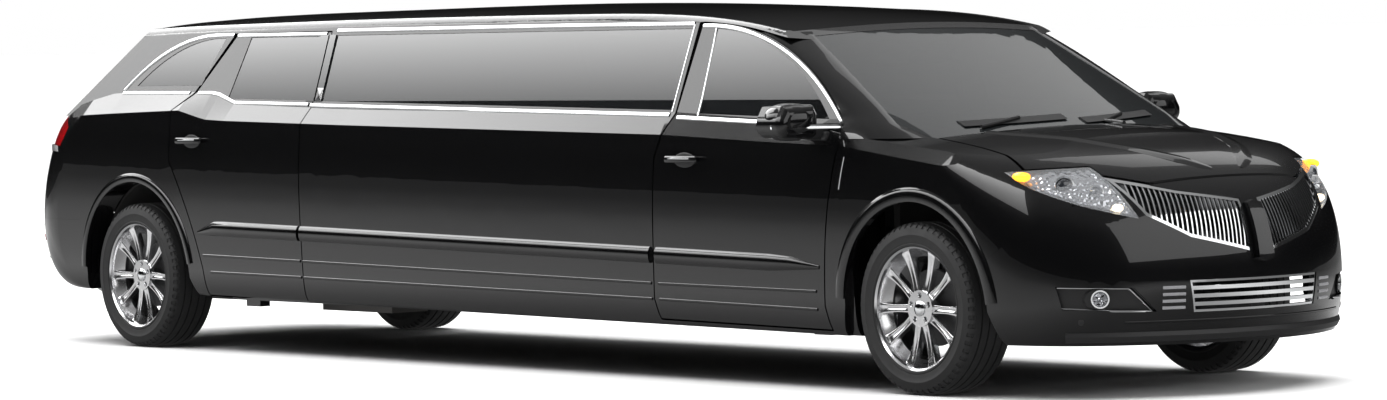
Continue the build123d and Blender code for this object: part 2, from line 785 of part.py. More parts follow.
seat_gap = 0.3
firewall_half_width = 690
toe_liner = 20
cowl_half_width = 742
cowl_drop = 37
cowl_thickness = 20


def build_inside(vol, made):
    """Floor with wheel boxes, firewall, cowl, dashboard and seats."""
    split_x = front_axle_x - 420
    kick_x = rear_axle_x + 660
    floor = block(kick_x, split_x, -sill_inner_y + seam, sill_inner_y - seam, floor_top - floor_thickness, floor_top)
    floor += block(kick_x, kick_x + 40, -sill_inner_y + seam, sill_inner_y - seam, floor_top - floor_thickness, 680)
    floor += block(rear_axle_x - 900, kick_x + 40, -460, 460, 640, 680)
    firewall = block(
        split_x, split_x + 40, -firewall_half_width, firewall_half_width, floor_top - floor_thickness, 1200
    )
    floor += firewall - above_bonnet(cowl_drop + cowl_thickness + seat_gap)
    ring_face = offset_face(arch(rear_axle_x, rear_arch_radius, 640, 545), 14)
    box = side_prism(ring_face, well_inner_y - 22, 829.4) & block(
        rear_axle_x - 465, kick_x + 20, 400, 900, floor_top - floor_thickness, high
    )
    box -= vol["rear_arches"]
    box -= block(rear_axle_x - 900, front_axle_x, sill_inner_y - seam, far, 0, floor_top + 25)
    box -= block(rear_axle_x - 85, rear_axle_x + 85, 400, 500, 0, axle_height + 90)
    liner_face = offset_face(arch(front_axle_x, front_arch_radius, 580, 505), toe_liner)
    toe = side_prism(liner_face, well_inner_y - toe_liner, firewall_half_width) & block(
        split_x - 110, split_x + 40, 400, far, floor_top - floor_thickness, 640
    )
    floor = floor + box + mirrored(box) + toe + mirrored(toe)
    wells = [vol["rear_arches"], vol["front_arches"]]
    floor -= [*wells, *[mirrored(well) for well in wells]]
    made["floor_pan"] = largest(floor)

    cowl_zone = block(split_x, front_axle_x + 130, -cowl_half_width, cowl_half_width, 950, high)
    cowl_top = above_bonnet(cowl_drop)
    made["cowl"] = largest((cowl_zone & above_bonnet(cowl_drop + cowl_thickness)) - cowl_top)

    dash = outline(f(-430, 1030), [f(-600, 1070), f(-820, 1010)], f(-860, 900), f(-760, 700), f(-430, 700))
    dashboard = side_prism(dash, -735, 735) + block(
        front_axle_x - 1300, front_axle_x - 700, -130, 130, floor_top + 0.3, 700
    )
    column = Pos(front_axle_x - 880, 400, 905) * Rot(0, -65, 0) * Cylinder(28, 240)
    wheel = Pos(front_axle_x - 985, 400, 955) * Rot(0, -65, 0) * (Torus(180, 15) + Cylinder(60, 30) + Box(360, 40, 18) + Box(40, 360, 18))
    made["dashboard"] = dashboard + column + wheel

    seats = [seat(front_axle_x - 1150, side * 400, 520) for side in (1, -1)]
    made["front_seats"] = Compound(seats)
    made["lounge_seats"] = lounge()


def seat(x, y, width):
    """Seat from its side view, on a plinth, with a head rest."""
    profile = outline(
        (x, floor_top + 0.3), (x + 20, 470), [(x - 10, 560), (x - 90, 560)], (x - 430, 540),
        (x - 560, 1010), [(x - 620, 1060), (x - 690, 1010)], (x - 600, 500), (x - 560, floor_top + 0.3),
    )
    head = outline((x - 590, 1040), (x - 620, 1190), [(x - 665, 1215), (x - 705, 1180)], (x - 675, 1020))
    return side_prism(profile, y - width / 2, y + width / 2) + side_prism(head, y - 130, y + 130)


def lounge():
    """Rear bench and long side bench of the passenger cabin."""
    back = rear_axle_x + 720
    bench = outline(
        (back + 640, floor_top + 0.3), (back + 660, 500), [(back + 620, 600), (back + 540, 600)],
        (back + 230, 580), (back + 120, 1060), [(back + 60, 1110), (back + 5, 1060)], (back + 5, floor_top + 0.3),
    )
    rear = side_prism(bench, -700, 700)
    side = front_prism(
        outline((-720, floor_top + 0.3), (-720, 1040), [(-690, 1090), (-640, 1040)], (-590, 600),
                (-290, 600), [(-230, 580), (-210, 520)], (-230, floor_top + 0.3)),
        rear_axle_x + 1620, front_axle_x - 2300,
    )
    return Compound([rear, side])


wiper_stand = 12
wiper_gap = 0.7


def build_wipers(made):
    """Wipers on the windscreen."""
    layer = upper_ends(-wiper_stand) - upper_ends(glass_set_back - wiper_gap)
    arms = []
    for y0, y1, z0, z1 in ((-560, -20, 1132, 1150), (60, 600, 1132, 1150)):
        face = outline((y0, z0), (y1, z1), (y1, z1 + 22), (y0, z0 + 22))
        arms.append(largest(layer & front_prism(face, front_axle_x - 900, front_axle_x + 400)))
    made["wipers"] = Compound(arms)


def door_extras(made):
    """Handles and mirror housings fused to the doors."""
    for name, x, z in (("front", front_axle_x - 1523, 994), ("rear", rear_axle_x + 554, 1062)):
        y = body_half_width + 16
        grip = Pos(x, y, z) * Box(handle_length, 14, 26)
        for step in (-1, 1):
            grip += Pos(x + step * (handle_length / 2 - 16), y - 24, z) * Box(24, 50, 20)
        made["door_" + name] = largest(made["door_" + name] + grip)
    housing = outline((980, 1105), (1010, 1085), (1150, 1095), [(1195, 1130), (1190, 1190)], (1165, 1232), (1000, 1238), (975, 1200))
    x = front_axle_x - 560
    mirror_body = front_prism(housing, x - 165, x)
    mirror_body = fillet(mirror_body.faces().sort_by(Axis.X)[-1].edges(), 40)
    foot = front_prism(outline((870, 1090), (990, 1105), (990, 1150), (870, 1140)), x - 110, x - 30)
    made["door_front"] = largest(made["door_front"] + mirror_body + foot)


def build():
    vol = shapes()
    half = {}
    build_cabin_panels(vol, half)
    build_front(vol, half)
    build_glass(half)
    build_wipers(half)
    door_extras(half)
    build_inside(vol, half)
    build_running_gear(half)
    nodes = {}
    pairs = {
        "side_frame": "side_frame_left side_frame_right", "fender": "fender_left fender_right",
        "door_front": "door_front_left door_front_right", "door_rear": "door_rear_left door_rear_right",
        "glass_front": "glass_front_left glass_front_right", "glass_rear": "glass_rear_left glass_rear_right",
    }
    grouped = {"headlamp": "headlamps", "tail_lamp": "tail_lamps"}
    for name, shape in half.items():
        if name in pairs:
            left, right = pairs[name].split()
            nodes[left] = shape
            nodes[right] = mirrored(shape)
        elif name in grouped:
            nodes[grouped[name]] = Compound([shape, mirrored(shape)])
        else:
            nodes[name] = shape
    return nodes


def main():
    os.makedirs("parts", exist_ok=True)
    for name, shape in build().items():
        export_step(shape, f"parts/{name}.step")


main()
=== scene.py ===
import json
import math

import bmesh
import bpy
from mathutils import Matrix, Vector
from mathutils.bvhtree import BVHTree


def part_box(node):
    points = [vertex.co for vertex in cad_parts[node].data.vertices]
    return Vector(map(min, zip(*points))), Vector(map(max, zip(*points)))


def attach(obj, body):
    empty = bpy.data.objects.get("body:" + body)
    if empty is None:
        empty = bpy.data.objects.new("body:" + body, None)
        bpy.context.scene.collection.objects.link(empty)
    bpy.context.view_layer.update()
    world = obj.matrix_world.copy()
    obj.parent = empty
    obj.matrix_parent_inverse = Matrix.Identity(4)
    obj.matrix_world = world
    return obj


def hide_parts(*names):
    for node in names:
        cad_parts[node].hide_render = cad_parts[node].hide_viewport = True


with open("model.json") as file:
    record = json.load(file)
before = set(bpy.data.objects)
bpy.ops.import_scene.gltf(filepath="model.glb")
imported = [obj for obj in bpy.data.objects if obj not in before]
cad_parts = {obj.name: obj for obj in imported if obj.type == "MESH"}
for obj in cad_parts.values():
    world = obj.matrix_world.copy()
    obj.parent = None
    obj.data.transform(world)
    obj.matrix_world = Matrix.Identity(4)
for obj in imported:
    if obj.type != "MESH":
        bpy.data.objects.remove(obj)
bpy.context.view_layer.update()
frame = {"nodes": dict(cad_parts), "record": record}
nodes = frame["nodes"]
print("frame loaded")

# where the car's main lines are, in metres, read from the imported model
frontLow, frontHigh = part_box("tyre_front_left")
rearLow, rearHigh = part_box("tyre_rear_left")
frontAxle = (frontLow.x + frontHigh.x) / 2
rearAxle = (rearLow.x + rearHigh.x) / 2
wheelHeight = frontHigh.z / 2
halfTrack = (frontLow.y + frontHigh.y) / 2
sides = {"left": 1, "right": -1}

camera = {"spot": (19.81896, -15.65795, 1.59351), "yaw": 141.11474, "pitch": -1.90988, "roll": -1.22488,
          "lens": 136.52, "sensor": 36.0}


# small helpers for places and meshes

def tilt(degrees, axis="Y"):
    return Matrix.Rotation(math.radians(degrees), 4, axis)


def spread(first, last, count):
    # evenly spaced values with both ends
    return [first + (last - first) * step / count for step in range(count + 1)]


def newPiece(name, bm, material, smooth=True):
    mesh = bpy.data.meshes.new(name)
    bm.to_mesh(mesh)
    bm.free()
    piece = bpy.data.objects.new(name, mesh)
    bpy.context.scene.collection.objects.link(piece)
    mesh.materials.append(material)
    for face in mesh.polygons:
        face.use_smooth = smooth
    return piece


def finishPiece(name, bm, body, look, sharp=35, place=None):
    slotName, material = look
    piece = newPiece(name, bm, material)
    if place:
        piece.data.transform(place)
    if sharp:
        piece.data.set_sharp_from_angle(angle=math.radians(sharp))
    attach(piece, body)
    return piece


def blockPiece(name, body, look, centre, size, bevel, segments=2):
    bm = bmesh.new()
    blockInto(bm, centre, size, bevel, segments=segments)
    finishPiece(name, bm, body, look)


def blobPiece(name, body, look, centre, size, power=1.0, place=None):
    bm = bmesh.new()
    blobInto(bm, centre, size, power)
    finishPiece(name, bm, body, look, place=place)


def joinInto(target, source, matrix=None):
    mesh = bpy.data.meshes.new("part")
    source.to_mesh(mesh)
    if matrix:
        mesh.transform(matrix)
    target.from_mesh(mesh)
    bpy.data.meshes.remove(mesh)


def recalc(bm):
    bmesh.ops.remove_doubles(bm, verts=bm.verts, dist=1e-6)
    bmesh.ops.recalc_face_normals(bm, faces=bm.faces)


def openEdges(bm):
    return [edge for edge in bm.edges if edge.is_boundary]


def fillHoles(bm):
    bmesh.ops.holes_fill(bm, edges=openEdges(bm))


def growSkirt(bm):
    # the open edges extruded, giving the new vertices
    grown = bmesh.ops.extrude_edge_only(bm, edges=openEdges(bm))
    return [part for part in grown["geom"] if isinstance(part, bmesh.types.BMVert)]


def bevelEdges(bm, edges, offset, segments=2):
    bmesh.ops.bevel(bm, geom=edges, offset=offset, segments=segments, profile=0.5, affect="EDGES",
                    material=-1)


def blockInto(bm, centre, size, bevel, turn=None, segments=2):
    # a box with rounded edges
    place = Matrix.Translation(centre) @ (turn or Matrix.Identity(4)) @ Matrix.Diagonal((*size, 1.0))
    made = bmesh.ops.create_cube(bm, size=1.0, matrix=place)
    bevelEdges(bm, list({edge for vert in made["verts"] for edge in vert.link_edges}), bevel, segments)


def blobInto(bm, centre, size, power=1.0, steps=24):
    # a rounded lump: a sphere whose sides are pushed towards a box as power falls below 1
    made = bmesh.ops.create_uvsphere(bm, u_segments=steps, v_segments=steps // 2, radius=1.0)
    for vert in made["verts"]:
        pushed = [math.copysign(abs(value) ** power, value) * half for value, half in zip(vert.co, size)]
        vert.co = Vector(centre) + Vector(pushed)


# materials

def addNode(tree, kind, values=None, operation=None):
    node = tree.nodes.new(kind)
    if operation:
        node.operation = operation
    for socket, value in (values or {}).items():
        node.inputs[socket].default_value = value
    return node


def joinNodes(tree, *links):
    for source, output, target, socket in links:
        tree.links.new(source.outputs[output], target.inputs[socket])


def baseMaterial(name, color, metallic=0.0, roughness=0.5, coat=0.0, coatRoughness=0.03, ior=1.5):
    mat = bpy.data.materials.new(name)
    mat.use_nodes = True
    shader = mat.node_tree.nodes["Principled BSDF"]
    shader.inputs["Base Color"].default_value = (*color, 1.0)
    shader.inputs["Metallic"].default_value = metallic
    shader.inputs["Roughness"].default_value = roughness
    shader.inputs["Coat Weight"].default_value = coat
    shader.inputs["Coat Roughness"].default_value = coatRoughness
    shader.inputs["IOR"].default_value = ior
    return mat, shader


def addPattern(tree, kind, values):
    # a procedural pattern that stays with the object
    pattern = addNode(tree, kind, values)
    joinNodes(tree, (addNode(tree, "ShaderNodeTexCoord"), "Object", pattern, "Vector"))
    return pattern


def varyRoughness(mat, shader, scale, low, high):
    tree = mat.node_tree
    noise = addPattern(tree, "ShaderNodeTexNoise", {"Scale": scale, "Detail": 3.0})
    span = addNode(tree, "ShaderNodeMapRange", {"To Min": low, "To Max": high})
    joinNodes(tree, (noise, "Fac", span, "Value"), (span, "Result", shader, "Roughness"))


def addBump(tree, shader, pattern, output, strength, distance):
    bump = addNode(tree, "ShaderNodeBump", {"Strength": strength, "Distance": distance})
    joinNodes(tree, (pattern, output, bump, "Height"), (bump, "Normal", shader, "Normal"))
    return bump


def makeWorn(name, color, metallic, roughness, grain, low, high):
    # a plain material whose roughness wanders between low and high
    mat, shader = baseMaterial(name, color, metallic, roughness)
    varyRoughness(mat, shader, grain, low, high)
    return mat


def makePlastic(name, color, roughness, grain=900.0):
    mat, shader = baseMaterial(name, color, 0.0, roughness)
    noise = addPattern(mat.node_tree, "ShaderNodeTexNoise", {"Scale": grain, "Detail": 4.0})
    addBump(mat.node_tree, shader, noise, "Fac", 0.25, 0.0004)
    return mat


def makeBlackPaint():
    mat, shader = baseMaterial("black paint", (0.0022, 0.0022, 0.0025), 0.0, 0.22, coat=1.0,
                               coatRoughness=0.012)
    shader.inputs["Specular IOR Level"].default_value = 0.12
    varyRoughness(mat, shader, 40.0, 0.18, 0.28)
    return mat


def makeGlass(name, color, alpha, roughness=0.01):
    mat, shader = baseMaterial(name, color, 0.0, roughness, coat=0.6, coatRoughness=0.01, ior=1.52)
    shader.inputs["Alpha"].default_value = alpha
    return mat


def curveGlass(mat, middle, bend):
    # the panes shade as if gently barrelled: the shading leans out at the foot and in at the top
    tree = mat.node_tree
    shader = tree.nodes["Principled BSDF"]
    coords = addNode(tree, "ShaderNodeTexCoord")
    split = addNode(tree, "ShaderNodeSeparateXYZ")
    offset = addNode(tree, "ShaderNodeMath", {1: middle}, "SUBTRACT")
    square = addNode(tree, "ShaderNodeMath", None, "MULTIPLY")
    scale = addNode(tree, "ShaderNodeMath", {1: -bend}, "MULTIPLY")
    joinNodes(tree, (coords, "Object", split, "Vector"), (split, "Z", offset, 0),
              (offset, "Value", square, 0), (offset, "Value", square, 1), (square, "Value", scale, 0))
    bump = addBump(tree, shader, scale, "Value", 1.0, 1.0)
    joinNodes(tree, (bump, "Normal", shader, "Coat Normal"))


def makeReflectorSilver():
    mat, shader = baseMaterial("lamp silver", (0.55, 0.56, 0.59), 1.0, 0.12)
    cells = addPattern(mat.node_tree, "ShaderNodeTexVoronoi", {"Scale": 46.0})
    addBump(mat.node_tree, shader, cells, "Distance", 0.9, 0.010)
    return mat


def makeGlow(name, color, strength):
    mat, shader = baseMaterial(name, color, 0.0, 0.15)
    shader.inputs["Emission Color"].default_value = (*color, 1.0)
    shader.inputs["Emission Strength"].default_value = strength
    varyRoughness(mat, shader, 120.0, 0.1, 0.25)
    return mat


paint = makeBlackPaint()
chrome = makeWorn("bright chrome", (0.86, 0.87, 0.88), 1.0, 0.06, 60.0, 0.04, 0.10)
alloy = makeWorn("polished wheel", (0.86, 0.86, 0.87), 1.0, 0.16, 90.0, 0.12, 0.24)
rubber = makeWorn("tyre rubber", (0.014, 0.014, 0.0145), 0.0, 0.62, 25.0, 0.5, 0.72)
windowGlass = makeGlass("dark window glass", (0.012, 0.013, 0.014), 0.90)
curveGlass(windowGlass, 1.446, 0.265)
screenGlass = makeGlass("windscreen glass", (0.012, 0.014, 0.015), 0.72)
lampGlass = makeGlass("lamp glass", (0.8, 0.82, 0.85), 0.16)
redLens = makeGlass("red lens", (0.32, 0.004, 0.006), 1.0, 0.08)
blackPlastic = makePlastic("black plastic", (0.012, 0.012, 0.0125), 0.45)
darkMetal = makePlastic("dull dark metal", (0.05, 0.05, 0.052), 0.55, 300.0)
leather = makePlastic("black leather", (0.018, 0.016, 0.015), 0.48, 380.0)
carpet = makePlastic("cabin carpet", (0.02, 0.019, 0.019), 0.92, 1200.0)
satinGrey = makePlastic("satin grey trim", (0.22, 0.22, 0.23), 0.35)
pipeSteel = baseMaterial("pipe steel", (0.16, 0.155, 0.15), 1.0, 0.42)[0]
lampSilver = makeReflectorSilver()
lampDark = baseMaterial("dark lamp eye", (0.02, 0.022, 0.026), 0.0, 0.04, coat=1.0)[0]
mirrorSilver = baseMaterial("mirror glass", (0.86, 0.88, 0.90), 1.0, 0.02)[0]
amberGlow = makeGlow("lit amber", (1.0, 0.36, 0.02), 2.2)
whiteGlow = makeGlow("lit white", (1.0, 0.86, 0.62), 1.6)
print("materials made")

slotFinish = {"body_paint": paint, "bright_trim": chrome, "window_glass": windowGlass, "tyre_rubber": rubber,
              "wheel_alloy": alloy, "lamp_lens": lampGlass, "lamp_red": redLens, "dark_metal": darkMetal,
              "black_plastic": blackPlastic, "cabin_leather": leather, "cabin_carpet": carpet,
              "bare_steel": pipeSteel}
painted, bright, black, redLamp = ((slotName, slotFinish[slotName]) for slotName in (
    "body_paint", "bright_trim", "black_plastic", "lamp_red"))
slotOf = {part["node"]: part["material_slot"] for part in frame["record"]["subparts"]}
for name, node in nodes.items():
    node.data.materials.clear()
    node.data.materials.append(slotFinish[slotOf[name]])
nodes["windshield"].data.materials[0] = screenGlass


# wheels: tyre with grooves, rim with ten spokes, hub with five nut pockets

tyre = {"width": 0.255, "radius": 0.3685, "seat": 0.258, "grooves": (-0.066, -0.023, 0.023, 0.066),
        "grooveWidth": 0.009, "grooveDepth": 0.008, "steps": 120, "blockRadius": 0.345, "blockBand": 0.030,
        "blockInset": 0.0022, "blockDepth": -0.0035}
rim = {"face": 0.098, "lip": 0.268, "well": 0.226, "spokes": 10, "firstSpoke": 72, "pairShift": 1.6,
       "spokeStart": 0.060, "hubRadius": 0.078, "nuts": 5, "nutCircle": 0.057, "nutHole": 0.0125,
       "nutRadius": 0.0098, "pocketDepth": 0.030, "capRadius": 0.033, "bevel": 0.0022}


def spinProfile(bm, points, steps):
    # lathe about Z from (radius, height) points
    verts = [bm.verts.new((radius, 0.0, height)) for radius, height in points]
    edges = [bm.edges.new(pair) for pair in zip(verts, verts[1:])]
    bmesh.ops.spin(bm, geom=verts + edges, cent=(0, 0, 0), axis=(0, 0, 1), angle=math.tau, steps=steps,
                   use_merge=True)
    recalc(bm)


def tyreProfile():
    half = tyre["width"] / 2
    top = tyre["radius"]
    deep = top - tyre["grooveDepth"]
    wide = tyre["grooveWidth"] / 2
    tread = [(top - 0.024, -half + 0.003), (top - 0.009, -half + 0.014), (top - 0.003, -half + 0.026)]
    for middle in tyre["grooves"]:
        tread += [(top, middle - wide), (deep, middle - wide * 0.7), (deep, middle + wide * 0.7),
                  (top, middle + wide)]
    tread += [(top - 0.003, half - 0.026), (top - 0.009, half - 0.014), (top - 0.024, half - 0.003)]
    wall = [(top - 0.050, half), (top - 0.052, half + 0.0012), (top - 0.056, half + 0.0012),
            (top - 0.058, half), (top - 0.078, half - 0.001), (top - 0.090, half - 0.004),
            (top - 0.093, half - 0.0015), (top - 0.099, half - 0.002), (top - 0.104, half - 0.009),
            (tyre["seat"], half - 0.016)]
    inner = [(radius, -height) for radius, height in reversed(wall)]
    return inner + tread + wall + [inner[0]]


def isSunkBlock(face):
    # every other three degrees of the tyre's shoulders
    middle = face.calc_center_median()
    turn = round(math.degrees(math.atan2(middle.y, middle.x)) + 360.0 - 1.5)
    shoulder = abs(middle.z) > tyre["width"] / 2 - tyre["blockBand"]
    return shoulder and middle.xy.length > tyre["blockRadius"] and turn // 3 % 2 == 0


def buildTyre():
    bm = bmesh.new()
    spinProfile(bm, tyreProfile(), tyre["steps"])
    bmesh.ops.inset_individual(bm, faces=[face for face in bm.faces if isSunkBlock(face)],
                               thickness=tyre["blockInset"], depth=tyre["blockDepth"])
    return bm


def buildBarrel():
    bm = bmesh.new()
    face, lip, well = rim["face"], rim["lip"], rim["well"]
    profile = [(0.2575, -0.112), (0.268, -0.120), (0.272, -0.118), (0.272, -0.112), (0.2578, -0.104),
               (well + 0.008, -0.070), (well, -0.040), (well, 0.030), (0.2578, 0.090), (0.2578, 0.106),
               (0.272, 0.113), (lip + 0.0035, 0.1185), (lip - 0.004, 0.119), (lip - 0.012, 0.112),
               (lip - 0.015, face - 0.006), (well - 0.004, 0.050), (well - 0.008, -0.045), (0.250, -0.110),
               (0.2575, -0.112)]
    spinProfile(bm, profile, 96)
    return bm


def buildSpoke():
    # one spoke lying along X: a tapered bar with bevelled edges and a shallow channel on its face
    bm = bmesh.new()
    bmesh.ops.create_grid(bm, x_segments=8, y_segments=4, size=0.5)
    start, end = rim["spokeStart"], rim["lip"] - 0.011
    for vert in bm.verts:
        along = vert.co.x + 0.5
        across = vert.co.y * 2
        radius = start + (end - start) * along
        width = 0.0205 - 0.0045 * math.sin(math.pi * min(along * 1.1, 1.0)) + 0.006 * along ** 6
        height = rim["face"] - 0.012 + 0.010 * along - 0.010 * math.sin(math.pi * along)
        channel = -0.0035 if abs(across) < 0.3 and 0.12 < along < 0.9 else 0.0
        vert.co = (radius, across * width, height + channel)
    top = list(bm.faces)
    for vert in growSkirt(bm):
        along = (vert.co.x - start) / (end - start)
        vert.co.z -= 0.030 + 0.014 * along
        vert.co.y *= 0.72
    fillHoles(bm)
    corners = [edge for edge in bm.edges if all(vert.co.z > rim["face"] - 0.03 for vert in edge.verts)
               and len(edge.link_faces) == 2
               and (edge.link_faces[0] in top) != (edge.link_faces[1] in top)]
    bevelEdges(bm, corners, rim["bevel"])
    recalc(bm)
    return bm


def nutPlace(index, height):
    angle = math.tau * index / rim["nuts"] + math.pi / 2
    circle = rim["nutCircle"]
    return Matrix.Translation((circle * math.cos(angle), circle * math.sin(angle), height))


def buildHubFace():
    # flat hub face with real nut pockets
    bm = bmesh.new()
    bmesh.ops.create_circle(bm, segments=60, radius=rim["hubRadius"])
    for index in range(rim["nuts"]):
        bmesh.ops.create_circle(bm, segments=20, radius=rim["nutHole"], matrix=nutPlace(index, 0))
    bmesh.ops.triangle_fill(bm, use_beauty=True, use_dissolve=False, edges=bm.edges)
    bmesh.ops.translate(bm, verts=growSkirt(bm), vec=(0, 0, -rim["pocketDepth"]))
    fillHoles(bm)
    bmesh.ops.translate(bm, verts=bm.verts, vec=(0, 0, rim["face"] - 0.006))
    recalc(bm)
    return bm


def buildNut():
    bm = bmesh.new()
    bmesh.ops.create_cone(bm, cap_ends=True, segments=6, radius1=rim["nutRadius"], radius2=rim["nutRadius"],
                          depth=0.018)
    crown = [edge for edge in bm.edges if all(vert.co.z > 0 for vert in edge.verts)]
    bevelEdges(bm, crown, rim["bevel"])
    return bm


def buildCap():
    # domed blank cap
    bm = bmesh.new()
    radius = rim["capRadius"]
    profile = [(0.0001, 0.0075), (radius * 0.5, 0.0068), (radius * 0.8, 0.0048), (radius * 0.9, 0.0022),
               (radius * 0.98, 0.0022), (radius, 0.0), (radius, -0.006)]
    spinProfile(bm, profile, 48)
    bmesh.ops.translate(bm, verts=bm.verts, vec=(0, 0, rim["face"] - 0.003))
    return bm


def makeWheels():
    spoke, hub, nut, cap = buildSpoke(), buildHubFace(), buildNut(), buildCap()
    for end, axle in (("front", frontAxle), ("rear", rearAxle)):
        for label, sign in sides.items():
            corner = f"{end}_{label}"
            body = f"wheel_{corner}"
            # the wheel axis along +Z becomes the car's outward side direction
            place = Matrix.Translation((axle, sign * halfTrack, wheelHeight)) @ tilt(-90 * sign, "X")
            wheel, nuts, lid = buildBarrel(), bmesh.new(), bmesh.new()
            for index in range(rim["spokes"]):
                shift = rim["pairShift"] * (1 if index % 2 else -1)
                turn = 360 * index / rim["spokes"] + rim["firstSpoke"] + shift
                joinInto(wheel, spoke, tilt(turn, "Z"))
            joinInto(wheel, hub)
            for index in range(rim["nuts"]):
                joinInto(nuts, nut, nutPlace(index, rim["face"] - 0.026))
            joinInto(lid, cap)
            piece = finishPiece(f"wheel_rim_{corner}", wheel, body, ("wheel_alloy", alloy), 32, place)
            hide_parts(f"rim_{corner}")
            finishPiece(f"wheel_nuts_{corner}", nuts, body, bright, 30, place)
            finishPiece(f"wheel_cap_{corner}", lid, body, bright, None, place)
            piece = finishPiece(f"tyre_tread_{corner}", buildTyre(), body, ("tyre_rubber", rubber), 40, place)
            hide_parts(f"tyre_{corner}")


makeWheels()
print("wheels made")


# strips that lie on the body: swept along a path that is dropped on the CAD skin

def skinOf(*names):
    # one searchable surface from several CAD nodes
    bm = bmesh.new()
    for name in names:
        bm.from_mesh(nodes[name].data)
    tree = BVHTree.FromBMesh(bm)
    bm.free()
    return tree


def dropOn(skin, start, way, nearby=None, reach=100.0):
    # the first hit along the way, or the surface nearest to another place; the normal looks back
    spot, normal = skin.ray_cast(Vector(start), Vector(way), reach)[:2]
    if spot is None:
        spot, normal = skin.find_nearest(Vector(nearby))[:2]
    return (spot, normal) if normal.dot(Vector(way)) < 0 else (spot, -normal)


sideNodes = ("side_frame", "door_front", "door_rear", "fender", "glass_front", "glass_rear")
sideSkin = {label: skinOf(*(f"{name}_{label}" for name in sideNodes), "side_glass", "roof_panel",
                          "front_bumper", "rear_bumper", "tail_lamps") for label in sides}


def dropOnSide(label, x, z):
    sign = sides[label]
    return dropOn(sideSkin[label], (x, sign * 2.0, z), (0, -sign, 0), nearby=(x, sign * 0.90, z))


def arcThrough(first, middle, last, count):
    # points of the circle arc through three points in side view
    a, b, c = (Vector(point) for point in (first, middle, last))
    squares = [point.length_squared for point in (a, b, c)]
    d = 2 * (a.x * (b.y - c.y) + b.x * (c.y - a.y) + c.x * (a.y - b.y))
    cx = (squares[0] * (b.y - c.y) + squares[1] * (c.y - a.y) + squares[2] * (a.y - b.y)) / d
    cy = (squares[0] * (c.x - b.x) + squares[1] * (a.x - c.x) + squares[2] * (b.x - a.x)) / d
    centre = Vector((cx, cy))
    radius = (a - centre).length
    angles = [math.atan2((point - centre).y, (point - centre).x) for point in (a, b, c)]
    turn = (angles[2] - angles[0]) % math.tau
    if (angles[1] - angles[0]) % math.tau > turn:
        turn -= math.tau
    return [(cx + radius * math.cos(angle), cy + radius * math.sin(angle))
            for angle in spread(angles[0], angles[0] + turn, count)]


def alongLine(points, spacing):
    # the same polyline with more points, evenly spaced
    result = []
    for (x0, z0), (x1, z1) in zip(points, points[1:]):
        count = max(1, round(math.hypot(x1 - x0, z1 - z0) / spacing))
        result += list(zip(spread(x0, x1, count), spread(z0, z1, count)))[:-1]
    return result + [points[-1]]


def arcPath(points, steps):
    # smooth path through the points
    result = []
    last = len(points) - 1
    for index in range(last):
        a, b, c, d = (Vector(points[min(max(index + shift, 0), last)]) for shift in (-1, 0, 1, 2))
        for step in range(steps):
            t = step / steps
            result.append(tuple(0.5 * (2 * b + (c - a) * t + (2 * a - 5 * b + 4 * c - d) * t * t
                                       + (3 * b - a - 3 * c + d) * t * t * t)))
    return result + [points[-1]]


def loft(bm, rings):
    # a closed ring of places extruded through the next ones
    end = bm.faces.new([bm.verts.new(spot) for spot in rings[0]])
    for index in range(1, len(rings)):
        grown = bmesh.ops.extrude_face_region(bm, geom=[end])
        fresh = next(part for part in grown["geom"] if isinstance(part, bmesh.types.BMFace))
        for vert, spot in zip(fresh.verts, rings[index]):
            vert.co = spot
        if index > 1:
            bmesh.ops.delete(bm, geom=[end], context="FACES_ONLY")
        end = fresh
    bmesh.ops.recalc_face_normals(bm, faces=bm.faces)


def stationsOf(spots, upright=False):
    # place, direction across the strip and direction out of the skin, from (place, normal) pairs
    stations = []
    for index, (spot, normal) in enumerate(spots):
        before, after = spots[max(index - 1, 0)][0], spots[min(index + 1, len(spots) - 1)][0]
        across = normal.cross((after - before).normalized()).normalized()
        if upright and across.z < 0:
            across = -across
        stations.append((spot, across, normal))
    return stations


def sweep(bm, stations, profile, taper=None):
    # a closed profile (across, out) carried from station to station, smaller where the taper is below 1
    rings = []
    for index, (spot, across, out) in enumerate(stations):
        scale = taper[index] if taper else 1.0
        rings.append([spot + across * a * scale + out * b * scale for a, b in profile])
    loft(bm, rings)


def strip(name, body, look, spots, section, taper=None, upright=False):
    bm = bmesh.new()
    sweep(bm, stationsOf(spots, upright), section, taper)
    finishPiece(name, bm, body, look)


def roundedStrip(width, height, steps=3):
    # half-round strip section from (-width/2, 0) over the top to (width/2, 0)
    corner = min(height, width / 2) * 0.9
    points = [(-width / 2, -0.004), (-width / 2, height - corner)]
    for step in range(1, steps + 1):
        angle = math.pi / 2 * step / steps
        points.append((-width / 2 + corner * (1 - math.cos(angle)),
                       height - corner + corner * math.sin(angle)))
    return points + [(-across, out) for across, out in reversed(points)]


def fromFrontPath(path):
    return [(frontAxle + x, z) for x, z in path]


def bodyOf(part, label):
    return f"{part}_{label}" if part.startswith("door") else "body"


def sideStrip(name, part, label, look, path, section, taper=None):
    spots = [dropOnSide(label, x, z) for x, z in path]
    strip(f"{name}_{label}", bodyOf(part, label), look, spots, section, taper, upright=True)


def sideStrips(name, label, paths, look, spacing, section):
    # one strip on every part of the body that the paths name
    for part, path in paths.items():
        sideStrip(f"{name}_{part}", part, label, look, alongLine(fromFrontPath(path), spacing), section)


